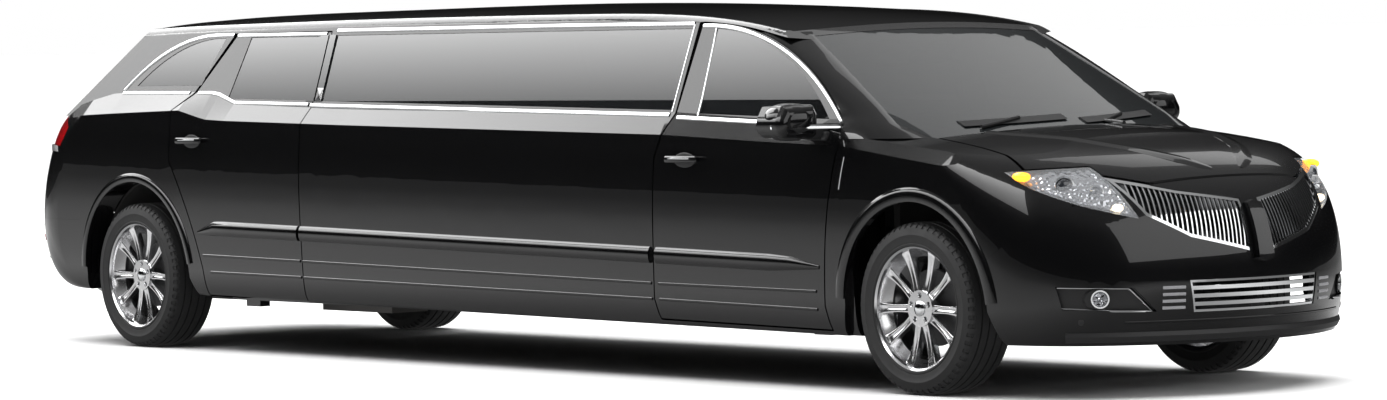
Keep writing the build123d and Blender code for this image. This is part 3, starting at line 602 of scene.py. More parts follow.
# bright strip round the side windows; paths are (distance from the front axle, height)
windowTrim = {"width": 0.020, "height": 0.005, "spacing": 0.12, "tipSpacing": 0.06}
windowTopPath = {
    "door_front": arcThrough((-0.505, 1.160), (-0.925, 1.4425), (-1.600, 1.5865), 16),
    "body": [(-1.668, 1.596), (-2.6, 1.600), (-4.46, 1.600)],
    "door_rear": [(-4.545, 1.5860), (-5.325, 1.5860)],
}
rearTipPath = [(-5.362, 1.590), (-5.52, 1.589)]
rearTipPath += arcThrough((-5.52, 1.589), (-5.83, 1.545), (-6.262, 1.318), 10)
beltPath = {
    "door_front": [(-0.500, 1.140), (-1.638, 1.179)],
    "body": [(-1.700, 1.190), (-4.545, 1.236)],
    "door_rear": [(-4.566, 1.240), (-5.220, 1.250), (-5.300, 1.272), (-5.370, 1.292), (-5.440, 1.300),
                  (-5.560, 1.301)],
    "rear_quarter": [(-5.640, 1.301), (-6.262, 1.303)],
}
postLine = {"width": 0.009, "height": 0.0035, "spacing": 0.08}
postPath = {
    "door_front": [(-1.4985, 1.186), (-1.5065, 1.585)],
    "body": [(-1.690, 1.204), (-1.664, 1.594)],
}


def makeWindowTrim():
    section = roundedStrip(windowTrim["width"], windowTrim["height"])
    thin = roundedStrip(postLine["width"], postLine["height"])
    for label in sides:
        sideStrips("window_trim_top", label, windowTopPath, bright, windowTrim["spacing"], section)
        sideStrip("window_trim_tip", "body", label, bright,
                  alongLine(fromFrontPath(rearTipPath), windowTrim["tipSpacing"]), section)
        sideStrips("window_trim_belt", label, beltPath, bright, windowTrim["spacing"], section)
        sideStrips("window_trim_post", label, postPath, bright, postLine["spacing"], thin)


# raised moulding along the foot of the doors, its two ends drawn down
lowerTrim = {"half": 0.038, "out": 0.019, "spacing": 0.15, "frontTaper": (0.25, 0.8), "rearTaper": 0.2}
lowerTrimPath = {
    "door_front": [(-0.612, 0.532), (-0.80, 0.545), (-1.738, 0.562)],
    "body": [(-1.782, 0.563), (-4.540, 0.610)],
    "door_rear": [(-4.562, 0.610), (-5.30, 0.622), (-5.462, 0.598)],
}


def makeLowerTrim():
    half, out = lowerTrim["half"], lowerTrim["out"]
    section = [(-half, -0.004), (-half, out * 0.35), (-half * 0.85, out * 0.65), (-half * 0.45, out * 0.92),
               (half * 0.05, out), (half * 0.42, out * 0.88), (half * 0.72, out * 0.62),
               (half * 0.92, out * 0.28), (half, -0.004)]
    for label in sides:
        for part, path in lowerTrimPath.items():
            points = alongLine(fromFrontPath(path), lowerTrim["spacing"])
            taper = [1.0] * len(points)
            if part == "door_front":
                taper[:2] = lowerTrim["frontTaper"]
            if part == "door_rear":
                taper[-1] = lowerTrim["rearTaper"]
            sideStrip(f"sill_moulding_{part}", part, label, painted, points, section, taper)


# two fine raised lines along the sill
sillLine = {"width": 0.014, "height": 0.005, "spacing": 0.3}
sillLinePath = {
    "upper": {"door_front": [(-0.640, 0.426), (-1.738, 0.433)], "body": [(-1.790, 0.434), (-4.540, 0.472)],
              "door_rear": [(-4.562, 0.473), (-5.420, 0.484)]},
    "lower": {"door_front": [(-0.640, 0.347), (-1.738, 0.362)], "body": [(-1.790, 0.363), (-4.540, 0.392)],
              "door_rear": [(-4.562, 0.393), (-5.360, 0.400)]},
}


def makeSillLines():
    section = roundedStrip(sillLine["width"], sillLine["height"])
    for label in sides:
        for level, paths in sillLinePath.items():
            sideStrips(f"sill_line_{level}", label, paths, painted, sillLine["spacing"], section)


# raised lips round the wheel arches: inner radius, width, and the angle where the lip starts
archLip = {"front": (0.456, 0.060, 4), "rear": (0.481, 0.044, 8), "lastAngle": 176, "out": 0.010, "steps": 36}


def makeArchLips():
    out = archLip["out"]
    for label in sides:
        for end, axle in (("front", frontAxle), ("rear", rearAxle)):
            inner, width, firstAngle = archLip[end]
            half = width / 2
            section = [(-half, -0.010), (-half, out * 0.75), (-half * 0.7, out), (half * 0.3, out),
                       (half * 0.75, out * 0.7), (half, 0.0), (half, -0.010)]
            path = []
            for degrees in spread(firstAngle, archLip["lastAngle"], archLip["steps"]):
                angle = math.radians(degrees)
                path.append((axle + (inner + half) * math.cos(angle),
                             wheelHeight + (inner + half) * math.sin(angle)))
            sideStrip(f"arch_lip_{end}", "body", label, painted, path, section)


# dark glass carried over the post between the long pane and the rear door's pane: place and width
postCover = {"body": (-4.489, 0.052), "door_rear": (-4.561, 0.070)}
postCoverShape = {"foot": 1.256, "head": 1.580, "out": 0.0045, "spacing": 0.06}


def makePostCovers():
    foot, head, out = (postCoverShape[key] for key in ("foot", "head", "out"))
    for label in sides:
        for part, (x, width) in postCover.items():
            half = width / 2
            section = [(-half, -0.001), (-half, out), (half, out), (half, -0.001)]
            sideStrips("window_post_cover", label, {part: [(x, foot), (x, head)]},
                       ("window_glass", windowGlass), postCoverShape["spacing"], section)


# windscreen pillars: from the front door's leading edge round to the side edge of the screen
pillar = {"foot": 1.088, "head": 1.552, "rows": 22, "steps": 6, "sideFrom": -1.55, "sideInset": 0.004,
          "doorTop": 1.148, "footFrom": -0.478, "doorGap": 0.007, "inside": 0.020, "bulge": (0.035, 0.012)}


def screenEdge(screen, sign, z):
    # where the screen begins at this height, searched from the side inwards
    for step in range(100):
        hit = screen.ray_cast(Vector((5, sign * (0.90 - step * 0.003), z)), Vector((-1, 0, 0)))[0]
        if hit:
            return hit
    return None


def makePillars():
    screen = skinOf("windshield")
    for label, sign in sides.items():
        door = skinOf(f"door_front_{label}")
        inward = Vector((-0.6, -sign * 0.8, 0)) * pillar["inside"]
        rings = []
        edge = None
        for z in spread(pillar["foot"], pillar["head"], pillar["rows"]):
            y = dropOnSide(label, frontAxle + pillar["sideFrom"], z)[0].y - sign * pillar["sideInset"]
            x = frontAxle + pillar["footFrom"]
            if z >= pillar["doorTop"]:
                front = door.ray_cast(Vector((5, y - sign * 0.008, z)), Vector((-1, 0, 0)))[0]
                x = front.x + pillar["doorGap"]
            edge = screenEdge(screen, sign, z) or edge + Vector((-0.030, -sign * 0.006, 0))
            start, end = Vector((x, y, z)), Vector((edge.x + 0.004, edge.y, z))
            corner = Vector((end.x - pillar["bulge"][0], y - sign * pillar["bulge"][1], z))
            ring = [start * (1 - t) ** 2 + corner * 2 * t * (1 - t) + end * t * t
                    for t in spread(0.0, 1.0, pillar["steps"])]
            rings.append(ring + [spot + inward for spot in reversed(ring)])
        bm = bmesh.new()
        loft(bm, rings)
        finishPiece(f"windscreen_pillar_{label}", bm, "body", painted, sharp=40)


makeWindowTrim()
makeLowerTrim()
makeSillLines()
makeArchLips()
makePostCovers()
makePillars()
print("body strips made")


# headlamps: silver bucket under the clear lens, projector, second bowl and amber ends
# projector and bowl are (distance from the middle, height, radius) in front view
headlamp = {"bucketDepth": 0.013, "projector": (0.742, 0.892, 0.036), "bowl": (0.655, 0.858, 0.032),
            "facing": 28.0, "ringDepth": 0.009, "eyeDepth": 0.010, "eyeSize": (0.84, 0.010),
            "amber": (0.580, 0.854, 0.930), "amberSize": (0.052, 0.020, 0.020),
            "inner": (0.600, 0.800), "innerDepth": 0.012, "innerSize": (0.014, 0.030, 0.016)}
lampSkin = skinOf("headlamps")


def lampPlace(sign, y, z, depth):
    # place on the lens in front view, looking out and forward, sunk under the lens by the depth
    spot, normal = dropOn(lampSkin, (5.0, sign * y, z), (-1, 0, 0))
    return Matrix.Translation(spot - normal * depth) @ tilt(headlamp["facing"] * sign, "Z") @ tilt(90)


def makeHeadlamps():
    bucket = bmesh.new()
    bucket.from_mesh(nodes["headlamps"].data)
    bmesh.ops.remove_doubles(bucket, verts=bucket.verts, dist=1e-4)
    bmesh.ops.recalc_face_normals(bucket, faces=bucket.faces)
    bucket.normal_update()
    for vert in bucket.verts:
        vert.co -= vert.normal * headlamp["bucketDepth"]
    finishPiece("headlamp_bucket", bucket, "body", ("bright_trim", lampSilver))
    rings, eyes, ambers, whites = bmesh.new(), bmesh.new(), bmesh.new(), bmesh.new()
    for sign in sides.values():
        for y, z, radius in (headlamp["projector"], headlamp["bowl"]):
            ring = bmesh.new()
            spinProfile(ring, [(radius, 0.0), (radius * 1.16, 0.004), (radius * 1.22, -0.012),
                               (radius * 0.9, -0.016), (radius * 0.86, -0.006), (radius, 0.0)], 36)
            joinInto(rings, ring, lampPlace(sign, y, z, headlamp["ringDepth"]))
        y, z, radius = headlamp["projector"]
        share, thick = headlamp["eyeSize"]
        eye = bmesh.new()
        blobInto(eye, (0, 0, 0), (radius * share, radius * share, thick))
        joinInto(eyes, eye, lampPlace(sign, y, z, headlamp["eyeDepth"]))
        x, y, z = headlamp["amber"]
        blobInto(ambers, (frontAxle + x, sign * y, z), headlamp["amberSize"], 0.9)
        spot = lampPlace(sign, *headlamp["inner"], headlamp["innerDepth"]).translation
        blobInto(whites, spot, headlamp["innerSize"], 0.9)
    finishPiece("headlamp_rings", rings, "body", bright)
    finishPiece("headlamp_eyes", eyes, "body", ("lamp_lens", lampDark))
    finishPiece("headlamp_amber", ambers, "body", ("lamp_lens", amberGlow))
    finishPiece("headlamp_inner_light", whites, "body", ("lamp_lens", whiteGlow))


makeHeadlamps()
print("headlamps made")


# door mirrors: painted upper shell, black lower half, bright seam, pane and black foot
mirror = {"spot": (-0.642, 1.084, 1.163), "half": (0.090, 0.114, 0.082), "power": 0.78, "split": 1.140,
          "lineGap": 0.004, "rearCut": 0.052, "lowerShare": 0.985, "seam": (0.125, 0.196, 0.010),
          "pane": (0.0035, 0.086, 0.058)}
# blocks of the foot: (forward of the mirror's middle, out, height), size, bevel
mirrorFoot = (((0.012, 0.937, 1.118), (0.092, 0.150, 0.070), 0.018),
              ((0.020, 0.922, 1.100), (0.120, 0.060, 0.040), 0.014))


def cutAway(bm, spot, normal, keepAbove=True):
    geom = bm.verts[:] + bm.edges[:] + bm.faces[:]
    bmesh.ops.bisect_plane(bm, geom=geom, plane_co=spot, plane_no=normal, clear_inner=keepAbove,
                           clear_outer=not keepAbove)
    fillHoles(bm)


def halfShell(sign, height, keepAbove, scale):
    bm = bmesh.new()
    x, y, z = mirror["spot"]
    centre = (frontAxle + x, sign * y, z)
    blobInto(bm, centre, [half * scale for half in mirror["half"]], mirror["power"], steps=40)
    cutAway(bm, (0, 0, height), (0, 0, 1), keepAbove)
    cutAway(bm, (centre[0] - mirror["rearCut"], 0, 0), (1, 0, 0))
    recalc(bm)
    return bm


def makeMirrors():
    x, y, z = mirror["spot"]
    x += frontAxle
    gap = mirror["lineGap"] / 2
    for label, sign in sides.items():
        body = f"door_front_{label}"
        upper = halfShell(sign, mirror["split"] + gap, True, 1.0)
        finishPiece(f"mirror_shell_{label}", upper, body, painted)
        lower = halfShell(sign, mirror["split"] - gap, False, mirror["lowerShare"])
        finishPiece(f"mirror_lower_{label}", lower, body, black)
        blockPiece(f"mirror_seam_{label}", body, bright, (x + 0.010, sign * y, mirror["split"]),
                   mirror["seam"], 0.004)
        blobPiece(f"mirror_glass_{label}", body, ("bright_trim", mirrorSilver),
                  (x - mirror["rearCut"] - 0.001, sign * y, z + 0.004), mirror["pane"], 0.6)
        foot = bmesh.new()
        for (forward, out, height), size, bevel in mirrorFoot:
            blockInto(foot, (x + forward, sign * out, height), size, bevel, segments=3)
        finishPiece(f"mirror_foot_{label}", foot, body, black)


makeMirrors()


# door handles: painted pull bar with a bright insert over a dark scoop
handle = {"bar": (0.226, 0.020, 0.031), "barOut": 0.981, "barBevel": 0.0085, "insert": (0.150, 0.004, 0.007),
          "insertOut": 0.9905, "insertBevel": 0.0015, "scoop": (0.074, 0.0035, 0.034), "scoopOut": 0.0006,
          "skinBelow": 0.030}
handlePlace = {"door_front": (frontAxle - 1.523, 0.994), "door_rear": (rearAxle + 0.554, 1.062)}


def makeHandles():
    for label, sign in sides.items():
        for door, (x, z) in handlePlace.items():
            body = bodyOf(door, label)
            skin = abs(dropOnSide(label, x, z - handle["skinBelow"])[0].y)
            blockPiece(f"{door}_handle_{label}", body, painted, (x, sign * handle["barOut"], z),
                       handle["bar"], handle["barBevel"], segments=4)
            blockPiece(f"{door}_handle_insert_{label}", body, bright,
                       (x - 0.008, sign * handle["insertOut"], z + 0.004), handle["insert"],
                       handle["insertBevel"])
            blobPiece(f"{door}_handle_scoop_{label}", body, black,
                      (x, sign * (skin + handle["scoopOut"]), z - 0.004), handle["scoop"])


makeHandles()


# small bright ornament on each front fender, left plain
ornamentPath = fromFrontPath([(-0.440, 1.012), (-0.452, 0.960), (-0.462, 0.910), (-0.469, 0.872)])
for label in sides:
    sideStrip("fender_ornament", "body", label, bright, ornamentPath,
              roundedStrip(0.016, 0.004))
print("mirrors and handles made")


# nose details: dropped on the front skin in front view, as (distance from the middle, height)

frontSkin = skinOf("front_bumper", "grille", "fog_lamps", "headlamps", "hood", "fender_left", "fender_right")
nose = {"fogOutline": [(0.600, 0.462), (0.836, 0.471), (0.830, 0.424), (0.816, 0.383), (0.660, 0.370),
                       (0.512, 0.366), (0.552, 0.410), (0.600, 0.462)],
        "outlineSize": (0.009, 0.006), "fogLamp": (0.706, 0.421, 0.031), "dot": (0.765, 0.325, 0.013),
        "ridgeHeights": (0.378, 0.406, 0.434, 0.462), "ridgeSpan": (0.392, 0.486),
        "ridgeSize": (0.013, 0.004), "lipHeight": 0.262, "lipSpan": 0.80, "lineHeight": 0.322,
        "lineSpan": 0.62, "lineSize": (0.012, 0.004),
        "lipSection": [(-0.022, -0.006), (-0.022, 0.006), (0.004, 0.012), (0.020, 0.004), (0.022, -0.006)]}
bonnetRidge = {"path": [(0.925, 0.085), (0.86, 0.165), (0.72, 0.275), (0.50, 0.385), (0.25, 0.470),
                        (0.02, 0.530)], "width": 0.085, "height": 0.0065}


def dropOnFront(y, z):
    start = 6.0
    return dropOn(frontSkin, (start, y, z), (-1, 0, 0), nearby=(frontAxle + 1.10, y, z),
                  reach=start - frontAxle - 0.4)


def dropLine(drop, start, end, count):
    # a straight line of places dropped on the skin
    return [drop(a, b) for a, b in zip(spread(start[0], end[0], count), spread(start[1], end[1], count))]


def placeFacing(spot, normal):
    return Matrix.Translation(spot) @ normal.to_track_quat("Z", "Y").to_matrix().to_4x4()


def makeFogLamp(label, sign):
    outline = [dropOnFront(sign * y, z) for y, z in alongLine(nose["fogOutline"], 0.05)]
    strip(f"fog_outline_{label}", "body", bright, outline, roundedStrip(*nose["outlineSize"]))
    y, z, radius = nose["fogLamp"]
    place = placeFacing(*dropOnFront(sign * y, z))
    ring, lens = bmesh.new(), bmesh.new()
    spinProfile(ring, [(radius, 0.0), (radius * 1.04, 0.007), (radius * 1.24, 0.007), (radius * 1.3, -0.004)],
                40)
    finishPiece(f"fog_ring_{label}", ring, "body", bright, place=place)
    blobInto(lens, (0, 0, 0), (radius, radius, 0.006))
    blobInto(lens, (0, 0, 0.004), (radius * 0.34, radius * 0.34, 0.006))
    finishPiece(f"fog_lens_{label}", lens, "body", ("lamp_lens", lampSilver), place=place)


def makeBonnetRidge(label, sign):
    spots = [dropOn(frontSkin, (frontAxle + x, sign * y, 3.0), (0, 0, -1))
             for x, y in arcPath(bonnetRidge["path"], 4)]
    wide, tall = bonnetRidge["width"] / 2, bonnetRidge["height"]
    section = [(-wide, -0.003), (-wide, 0.0), (-wide * 0.5, tall * 0.55), (-wide * 0.12, tall),
               (wide * 0.12, tall), (wide * 0.5, tall * 0.55), (wide, 0.0), (wide, -0.003)]
    taper = [min(1.0, 0.3 + step * 0.14) for step in range(len(spots))]
    strip(f"bonnet_ridge_{label}", "hood", painted, spots, section, taper)


def makeNose():
    for label, sign in sides.items():
        makeFogLamp(label, sign)
        first, last = nose["ridgeSpan"]
        for index, height in enumerate(nose["ridgeHeights"]):
            spots = dropLine(dropOnFront, (sign * first, height), (sign * last, height), 4)
            strip(f"bumper_ridge_{index}_{label}", "body", ("black_plastic", satinGrey), spots,
                  roundedStrip(*nose["ridgeSize"]))
        y, z, radius = nose["dot"]
        blobPiece(f"bumper_dot_{label}", "body", black, (0, 0, 0), (radius, radius, 0.003), 0.9,
                  placeFacing(*dropOnFront(sign * y, z)))
        makeBonnetRidge(label, sign)
    span, height = nose["lipSpan"], nose["lipHeight"]
    spots = dropLine(dropOnFront, (-span, height), (span, height), 32)
    strip("bumper_lip", "body", black, spots, nose["lipSection"])
    span, height = nose["lineSpan"], nose["lineHeight"]
    spots = dropLine(dropOnFront, (-span, height), (span, height), 28)
    strip("bumper_line", "body", painted, spots, roundedStrip(*nose["lineSize"]))


makeNose()
print("nose details made")


# seats: crowned leather pads with sewn channels on hard frames

seatPad = {"steps": 10, "crown": 0.16, "pinch": 0.03, "channelDepth": 0.010}
# (behind the seat's front, height), half sizes, lean back, channels, how full the pad is
seatX, seatY = frontAxle - 1.150, 0.400
frontPads = {
    "front_seat_cushions": ((-0.275, 0.500), (0.265, 0.235, 0.052), None, 5, 0.8),
    "front_seat_backs": ((-0.600, 0.795), (0.225, 0.225, 0.050), 13, 5, 0.8),
    "front_seat_head_rests": ((-0.652, 1.120), (0.075, 0.125, 0.036), 10, 1, 0.9),
}
# (behind the seat's front, height), size, bevel, lean back
frontFrames = (((-0.290, 0.390), (0.50, 0.44, 0.115), 0.020, 0),
               ((-0.648, 0.775), (0.045, 0.44, 0.50), 0.018, 13),
               ((-0.665, 1.070), (0.012, 0.12, 0.10), 0.004, 10))
lounge = {"rowY": (-0.46, 0.0, 0.46), "sidePads": 4, "sideStart": rearAxle + 1.640,
          "sideEnd": frontAxle - 2.320, "padGap": 0.004, "lean": 12, "sideLean": -84}


def padInto(bm, centre, size, turn=None, channels=4, along="y"):
    # a crowned closed cushion: the sides pull in between the corners, channels are sewn across its face
    pad = bmesh.new()
    bmesh.ops.create_cube(pad, size=2.0)
    bmesh.ops.subdivide_edges(pad, edges=pad.edges[:], cuts=seatPad["steps"], use_grid_fill=True)
    for vert in pad.verts:
        u, v, w = vert.co
        edge = max(abs(u), abs(v))
        crown = (1 - u * u) * (1 - v * v)
        rounded = 1 - 0.10 * (abs(u) ** 6 + abs(v) ** 6 + abs(w) ** 6 - 1) / 2 if edge > 0.9 else 1.0
        x = u * rounded * (1 - seatPad["pinch"] * (1 - v * v))
        y = v * rounded * (1 - seatPad["pinch"] * (1 - u * u))
        z = w * (1 - 0.35 * edge ** 8) + (seatPad["crown"] * crown if w > 0 else 0)
        line = v if along == "y" else u
        groove = min(abs(math.sin(line * channels * math.pi / 2)) * 3, 1.0)
        deep = seatPad["channelDepth"] * (1 - groove) if w > 0.9 and edge < 0.92 else 0.0
        vert.co = (x * size[0], y * size[1], z * size[2] - deep)
    joinInto(bm, pad, Matrix.Translation(centre) @ (turn or Matrix.Identity(4)))


def finishPad(name, bm):
    bmesh.ops.recalc_face_normals(bm, faces=bm.faces)
    piece = newPiece(name, bm, leather)
    smoother = piece.modifiers.new("round", "SUBSURF")
    smoother.levels = 1
    smoother.render_levels = 1
    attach(piece, "body")
    return piece


def backTurn(lean):
    # a pad stood up as a backrest that leans back
    return tilt(lean - 90) @ tilt(180, "Z")


def makeFrontSeats():
    pieces = []
    for name, ((x, z), size, lean, channels, fill) in frontPads.items():
        bm = bmesh.new()
        for sign in sides.values():
            padInto(bm, (seatX + x, sign * seatY, z), size, backTurn(lean) if lean else None, channels)
        pieces.append(finishPad(name, bm))
    shell = bmesh.new()
    for sign in sides.values():
        for (x, z), size, bevel, lean in frontFrames:
            blockInto(shell, (seatX + x, sign * seatY, z), size, bevel, turn=tilt(-lean))
    pieces.append(finishPiece("front_seat_frames", shell, "body", black))
    for piece in pieces:
        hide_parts("front_seats")


def makeLounge():
    bench, rests, plinth = bmesh.new(), bmesh.new(), bmesh.new()
    for y in lounge["rowY"]:
        padInto(bench, (rearAxle + 1.105, y, 0.560), (0.270, 0.225, 0.048), channels=3)
        padInto(rests, (rearAxle + 0.820, y, 0.835), (0.235, 0.225, 0.050), backTurn(lounge["lean"]), 3)
    blockInto(plinth, (rearAxle + 1.10, 0.0, 0.425), (0.50, 1.36, 0.175), 0.02)
    start, end, count = lounge["sideStart"], lounge["sideEnd"], lounge["sidePads"]
    half = (end - start) / count / 2 - lounge["padGap"]
    for index in range(count):
        x = start + (end - start) * (index + 0.5) / count
        padInto(bench, (x, -0.435, 0.555), (half, 0.190, 0.045), channels=3, along="x")
        padInto(rests, (x, -0.655, 0.830), (half, 0.215, 0.050), tilt(lounge["sideLean"], "X"), 3, along="x")
    blockInto(plinth, ((start + end) / 2, -0.460, 0.422), (end - start, 0.42, 0.170), 0.02)
    pieces = [finishPad("lounge_cushions", bench), finishPad("lounge_backs", rests),
              finishPiece("lounge_plinths", plinth, "body", ("cabin_carpet", carpet))]
    for piece in pieces:
        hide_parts("lounge_seats")


makeFrontSeats()
makeLounge()
print("seats made")


# tail: exhaust tips, reflectors, bumper lines, high brake lamp, rear wiper, handle bar

rearSkin = skinOf("rear_bumper", "tailgate", "tailgate_lamp", "tail_lamps", "rear_glass", "side_frame_left",
                  "side_frame_right", "roof_panel")
tail = {"tipY": 0.52, "tipZ": 0.265, "tipRadius": 0.042, "tipFlat": 0.62, "tipIn": 0.055, "tipSkinZ": 0.320}
# strips in rear view: body, slot and material, start and end as (y, height), steps, width and height
rearStrips = {
    "rear_bumper_line_0": ("body", painted, (-0.86, 0.610), (0.86, 0.610), 40, (0.016, 0.005)),
    "rear_bumper_line_1": ("body", painted, (-0.86, 0.440), (0.86, 0.440), 40, (0.016, 0.005)),
    "high_brake_lamp": ("tailgate", redLamp, (-0.17, 1.590), (0.17, 1.590), 10, (0.016, 0.006)),
    "rear_wiper": ("tailgate", black, (0.02, 1.345), (0.38, 1.393), 8,
                   (0.014, 0.014)),
    "tailgate_handle_bar": ("tailgate", bright, (-0.30, 0.925), (0.30, 0.925), 16,
                            (0.026, 0.010)),
}


def dropOnRear(y, z):
    start = -6.0
    return dropOn(rearSkin, (start, y, z), (1, 0, 0), nearby=(rearAxle - 1.2, y, z),
                  reach=rearAxle - 0.4 - start)


def makeTail():
    for label, sign in sides.items():
        y, z, radius = sign * tail["tipY"], tail["tipZ"], tail["tipRadius"]
        spot = dropOnRear(y, tail["tipSkinZ"])[0]
        tip = bmesh.new()
        spinProfile(tip, [(radius * 0.86, -0.09), (radius * 0.86, 0.0), (radius * 0.92, 0.005),
                          (radius, 0.002), (radius, -0.09), (radius * 0.86, -0.09)], 40)
        for vert in tip.verts:
            vert.co.x *= tail["tipFlat"]
        finishPiece(f"exhaust_tip_{label}", tip, "body", ("bare_steel", chrome),
                    place=Matrix.Translation((spot.x + tail["tipIn"], y, z)) @ tilt(-90))
        spots = dropLine(dropOnRear, (sign * 0.66, 0.560), (sign * 0.88, 0.544), 8)
        strip(f"rear_reflector_{label}", "body", redLamp, spots, roundedStrip(0.034, 0.004))
    for name, (body, look, start, end, count, size) in rearStrips.items():
        strip(name, body, look, dropLine(dropOnRear, start, end, count), roundedStrip(*size))


makeTail()
print("tail details made")


# the side frames with the thin ledge behind the tail lamps drawn in to the rounded corner below it
tailLedge = {"low": 0.997, "high": 1.0385, "below": 0.988, "from": 6.6}


def makeSideFrames():
    for label in sides:
        name = f"side_frame_{label}"
        corner = skinOf(name)
        data = nodes[name].data.copy()
        for vert in data.vertices:
            x, y, z = vert.co
            if tailLedge["low"] < z < tailLedge["high"] and x < frontAxle - tailLedge["from"]:
                edge = corner.ray_cast(Vector((-6.0, y, tailLedge["below"])), Vector((1, 0, 0)))[0]
                if edge and x < edge.x:
                    vert.co.x = edge.x
        piece = bpy.data.objects.new(f"side_frame_skin_{label}", data)
        bpy.context.scene.collection.objects.link(piece)
        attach(piece, "body")
        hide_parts(name)


makeSideFrames()
print("side frames made")


# windscreen wiper arms from foot to tip in front view, room mirror behind the screen
wiper = {"arms": (((-0.50, 1.118), (-0.27, 1.152)), ((0.12, 1.118), (0.35, 1.152))), "lift": 0.010,
         "size": (0.016, 0.009)}
roomMirror = {"spot": (-0.955, 1.425), "half": (0.014, 0.115, 0.032), "stemSpot": (-0.935, 1.462),
              "stem": (0.020, 0.030, 0.060)}


def makeWiperArms():
    screenSkin = skinOf("windshield", "cowl", "hood")
    lift = Vector((0, 0, wiper["lift"]))
    arms = bmesh.new()
    for start, end in wiper["arms"]:
        spots = dropLine(lambda y, z: dropOn(screenSkin, (6.0, y, z), (-1, 0, 0)), start, end, 8)
        raised = [(spot + lift, normal) for spot, normal in spots]
        sweep(arms, stationsOf(raised), roundedStrip(*wiper["size"]))
    finishPiece("wiper_arms", arms, "body", black)


def makeRoomMirror():
    room = bmesh.new()
    x, z = roomMirror["spot"]
    blobInto(room, (frontAxle + x, 0.0, z), roomMirror["half"], 0.6)
    x, z = roomMirror["stemSpot"]
    blockInto(room, (frontAxle + x, 0.0, z), roomMirror["stem"], 0.006)
    finishPiece("room_mirror", room, "body", black)


makeWiperArms()
makeRoomMirror()
print("wiper arms made")


# stage: floor, light and camera; ramps are (position, brightness) pairs
windowStops = [(0.0, 0.30), (0.35, 0.55), (1.0, 1.0)]
# painted reflection of the floor, with the car's painted shadow in it: its brightness over the distance from
# the car's centre line, 1.0 being at sheenReach
sheenStops = [(0.030, 0.03), (0.080, 0.30), (0.14, 0.75), (0.24, 0.60), (0.45, 0.24), (0.90, 0.13)]
sheenReach = 20.0
worldStops = [(0.10, 0.006), (0.40, 0.05), (0.90, 0.38)]


def stagePlane(name, half, material, place=None):
    bm = bmesh.new()
    bmesh.ops.create_grid(bm, x_segments=1, y_segments=1, size=half)
    if place:
        bmesh.ops.transform(bm, matrix=place, verts=bm.verts)
    return newPiece(name, bm, material, smooth=False)


def onlyForGloss(piece):
    piece.visible_camera = False
    piece.visible_diffuse = False
    piece.visible_shadow = False


def rampNode(tree, stops):
    ramp = addNode(tree, "ShaderNodeValToRGB")
    marks = ramp.color_ramp.elements
    marks[0].position, marks[1].position = stops[0][0], stops[-1][0]
    marks[0].color, marks[1].color = (stops[0][1],) * 3 + (1.0,), (stops[-1][1],) * 3 + (1.0,)
    for position, level in stops[1:-1]:
        marks.new(position).color = (level,) * 3 + (1.0,)
    return ramp


def makeRampGlow(name, stops, strength):
    # black material that glows as the ramp says
    mat, shader = baseMaterial(name, (0, 0, 0))
    shader.inputs["Emission Strength"].default_value = strength
    ramp = rampNode(mat.node_tree, stops)
    joinNodes(mat.node_tree, (ramp, "Color", shader, "Emission Color"))
    return mat, ramp


def makeFloor():
    floor = stagePlane("floor", 400.0, baseMaterial("pale floor", (0.90, 0.90, 0.90), 0.0, 0.7)[0])
    floor.visible_glossy = False


def makeSoftbox(name, centre, size, stops, strength):
    # upright panel beside the car that only the gloss sees, brighter towards its top
    mat, ramp = makeRampGlow(name, stops, strength)
    tree = mat.node_tree
    coords = addNode(tree, "ShaderNodeTexCoord")
    split = addNode(tree, "ShaderNodeSeparateXYZ")
    span = addNode(tree, "ShaderNodeMapRange", {"From Min": centre[2] - size[1] / 2,
                                                "From Max": centre[2] + size[1] / 2})
    joinNodes(tree, (coords, "Object", split, "Vector"), (split, "Z", span, "Value"),
              (span, "Result", ramp, "Fac"))
    place = Matrix.Translation(centre) @ tilt(90, "X") @ Matrix.Diagonal((size[0] / 2, size[1] / 2, 1, 1))
    panel = stagePlane(name, 1.0, mat, place)
    onlyForGloss(panel)


def makeFloorSheen():
    # what the gloss sees of the floor, painted as a glowing plane: a painted shadow, dim under the car, and a
    # painted reflection, bright beside it and fading far away
    mat, ramp = makeRampGlow("floor sheen", sheenStops, 1.0)
    tree = mat.node_tree
    coords = addNode(tree, "ShaderNodeTexCoord")
    shape = addNode(tree, "ShaderNodeVectorMath", {1: (0.22, 1.0, 0.0)}, "MULTIPLY")
    length = addNode(tree, "ShaderNodeVectorMath", None, "LENGTH")
    span = addNode(tree, "ShaderNodeMapRange", {"From Max": sheenReach})
    joinNodes(tree, (coords, "Object", shape, 0), (shape, "Vector", length, 0),
              (length, "Value", span, "Value"), (span, "Result", ramp, "Fac"))
    sheen = stagePlane("floor sheen", 90.0, mat, Matrix.Translation((0, 0, -0.006)))
    onlyForGloss(sheen)


def makeSun(name, power, width):
    light = bpy.data.lights.new(name, "SUN")
    light.energy = power
    light.angle = math.radians(width)
    sun = bpy.data.objects.new(name, light)
    sun.visible_glossy = False
    bpy.context.scene.collection.objects.link(sun)


def makeLight(name, spot, aim, size, power, glossy=True):
    light = bpy.data.lights.new(name, "AREA")
    light.shape = "RECTANGLE"
    light.size, light.size_y = size
    light.energy = power
    lamp = bpy.data.objects.new(name, light)
    lamp.location = spot
    lamp.rotation_euler = (Vector(aim) - Vector(spot)).to_track_quat("-Z", "Y").to_euler()
    lamp.visible_glossy = glossy
    bpy.context.scene.collection.objects.link(lamp)


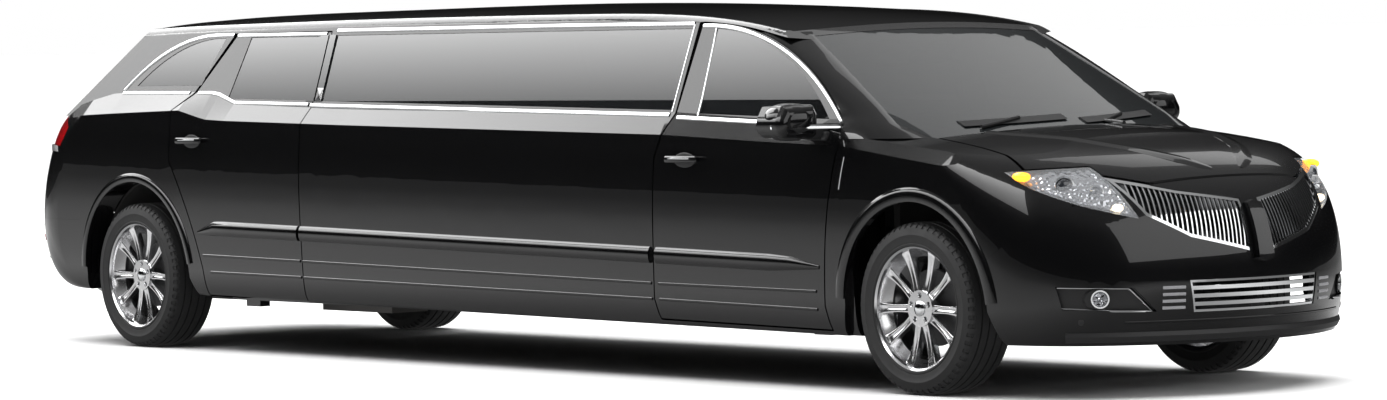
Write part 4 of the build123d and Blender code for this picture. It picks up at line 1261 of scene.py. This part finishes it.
def makeCamera():
    yaw, pitch, roll = (math.radians(camera[key]) for key in ("yaw", "pitch", "roll"))
    view = Vector((math.cos(yaw) * math.cos(pitch), math.sin(yaw) * math.cos(pitch), math.sin(pitch)))
    right = view.cross(Vector((0, 0, 1))).normalized()
    up = right.cross(view)
    rolledRight = math.cos(roll) * right + math.sin(roll) * up
    rolledUp = -math.sin(roll) * right + math.cos(roll) * up
    lens = bpy.data.cameras.new("camera")
    lens.sensor_width = camera["sensor"]
    lens.lens = camera["lens"]
    eye = bpy.data.objects.new("camera", lens)
    turn = Matrix((rolledRight, rolledUp, -view)).transposed()
    eye.matrix_world = Matrix.Translation(Vector(camera["spot"])) @ turn.to_4x4()
    bpy.context.scene.collection.objects.link(eye)
    bpy.context.scene.camera = eye


def makeWorld():
    # dark near the horizon and white above, as in a light tent; the wall that the camera sees is white
    world = bpy.data.worlds.new("studio")
    world.use_nodes = True
    tree = world.node_tree
    background = tree.nodes["Background"]
    coords = addNode(tree, "ShaderNodeTexCoord")
    split = addNode(tree, "ShaderNodeSeparateXYZ")
    ramp = rampNode(tree, worldStops)
    wall = addNode(tree, "ShaderNodeBackground", {"Color": (1.0, 1.0, 1.0, 1.0)})
    seen = addNode(tree, "ShaderNodeLightPath")
    mix = addNode(tree, "ShaderNodeMixShader")
    joinNodes(tree, (coords, "Generated", split, "Vector"), (split, "Z", ramp, "Fac"),
              (ramp, "Color", background, "Color"), (seen, "Is Camera Ray", mix, "Fac"),
              (background, "Background", mix, 1), (wall, "Background", mix, 2),
              (mix, "Shader", tree.nodes["World Output"], "Surface"))
    bpy.context.scene.world = world
    bpy.context.scene.view_settings.view_transform = "Standard"


makeFloor()
makeFloorSheen()
makeWorld()
makeSun("floor sun", 3.7, 75.0)
makeLight("overhead softbox", (0.0, 0.0, 8.5), aim=(0.0, 0.0, 0.0), size=(14.0, 7.0), power=500.0,
          glossy=False)
makeSoftbox("window softbox", (-15.0, -15.0, 12.1), (44.0, 9.8), windowStops, strength=6.5)
makeLight("shoulder softbox", (-21.0, 0.0, 16.0), aim=(0.0, 0.0, 1.2), size=(22.0, 14.0), power=4300.0)
makeLight("screen softbox", (-4.6, 13.0, 15.0), aim=(1.5, 0.0, 1.3), size=(5.0, 13.0), power=150.0)
makeLight("nose softbox", (13.0, 2.5, 5.2), aim=(4.2, 0.0, 0.8), size=(16.0, 5.5), power=420.0)
makeCamera()
print("stage set")
